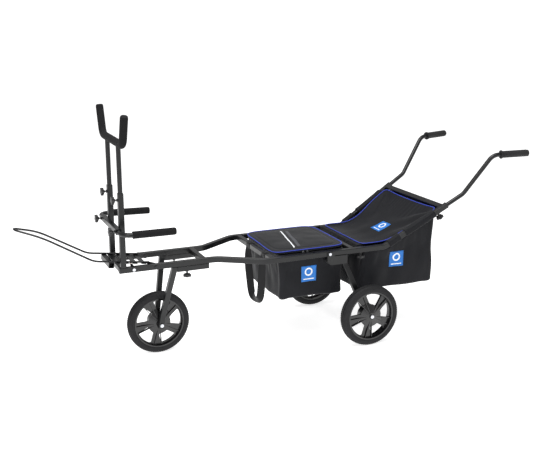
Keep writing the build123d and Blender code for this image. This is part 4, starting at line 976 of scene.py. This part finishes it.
# %% [markdown]
# ## Carry strap
# One length of webbing goes twice round the first rear cross tube and hangs in a loop. Webbing keeps its
# width and doesn't stretch, so it is made as a flat ribbon along a path, not simulated.

# %% Webbing ribbon
low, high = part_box("carry_strap")
strap_x = low.x + 1.4 * mm
bar_low, bar_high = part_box("rear_crossbars")
bar_z = (bar_low.z + bar_high.z) / 2
strap_half = 19 * mm
left_y, right_y = low.y + strap_half, high.y - strap_half


def ribbon(name, line, widthways, thickness, closed=False):
    """A flat strap along a line; widthways gives the direction across it at each point."""
    rows = [[p + w * strap_half * share for share in (-1, -0.5, 0, 0.5, 1)] for p, w in zip(line, widthways)]
    if closed:
        rows.append(rows[0])
    strap = from_grid(name, rows, webbing)
    finish_cloth(strap, thickness)
    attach(strap, "chassis")
    return strap


lean = 40 * mm
leg_twist = 1.6             # the legs turn their flat side outwards; the bottom of the loop stays flat
bottom_z = low.z + strap_half
leg = [(0, bar_z + 6 * mm), (6 * mm, bar_z - 60 * mm), (20 * mm, bottom_z + 110 * mm),
       (lean - 6 * mm, bottom_z + 26 * mm), (lean + 14 * mm, bottom_z)]
path = [(left_y + inwards, z) for inwards, z in leg]
path += [(right_y - inwards, z) for inwards, z in reversed(leg)]
smooth_path = []
for (y0, z0), (y1, z1) in zip(path, path[1:]):
    smooth_path += [(y0 + (y1 - y0) * i / 6, z0 + (z1 - z0) * i / 6) for i in range(6)]
smooth_path.append(path[-1])
for _ in range(4):
    inner = [((a[0] + 2 * b[0] + c[0]) / 4, (a[1] + 2 * b[1] + c[1]) / 4)
             for a, b, c in zip(smooth_path, smooth_path[1:], smooth_path[2:])]
    smooth_path = [smooth_path[0]] + inner + [smooth_path[-1]]
line = []
widthways = []
for index, (y, z) in enumerate(smooth_path):
    y0, z0 = smooth_path[max(0, index - 1)]
    y1, z1 = smooth_path[min(len(smooth_path) - 1, index + 1)]
    way = Vector((0, y1 - y0, z1 - z0)).normalized()
    twist = -leg_twist * math.sin(2 * math.pi * index / (len(smooth_path) - 1))
    line.append(Vector((strap_x - 2 * mm * math.sin(6.28 * index / 20), y, z)))
    widthways.append((Vector((0, -way.z, way.y)) + Vector((twist, 0, 0))).normalized())
hanging = ribbon("strap_loop_hanging", line, widthways, 2.0 * mm)
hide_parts("carry_strap")
wrap_half = 14.2 * mm
bar_x = high.x - 15 * mm
for label, y in (("left", left_y), ("right", right_y)):
    wrap = square_ring(Vector((bar_x, y, bar_z)), Vector((1, 0, 0)), Vector((0, 0, 1)), wrap_half, 32)
    ribbon(f"strap_wrap_{label}", wrap, [Vector((0, 1, 0))] * len(wrap), 2.0 * mm, closed=True)
print("strap done")

# %% [markdown]
# ## Tidying up
# The small shapes that the trees copied are removed.

# %% Remove the helper shapes
for helper in (stitch_shape, ring_shape, tooth):
    bpy.data.objects.remove(helper)
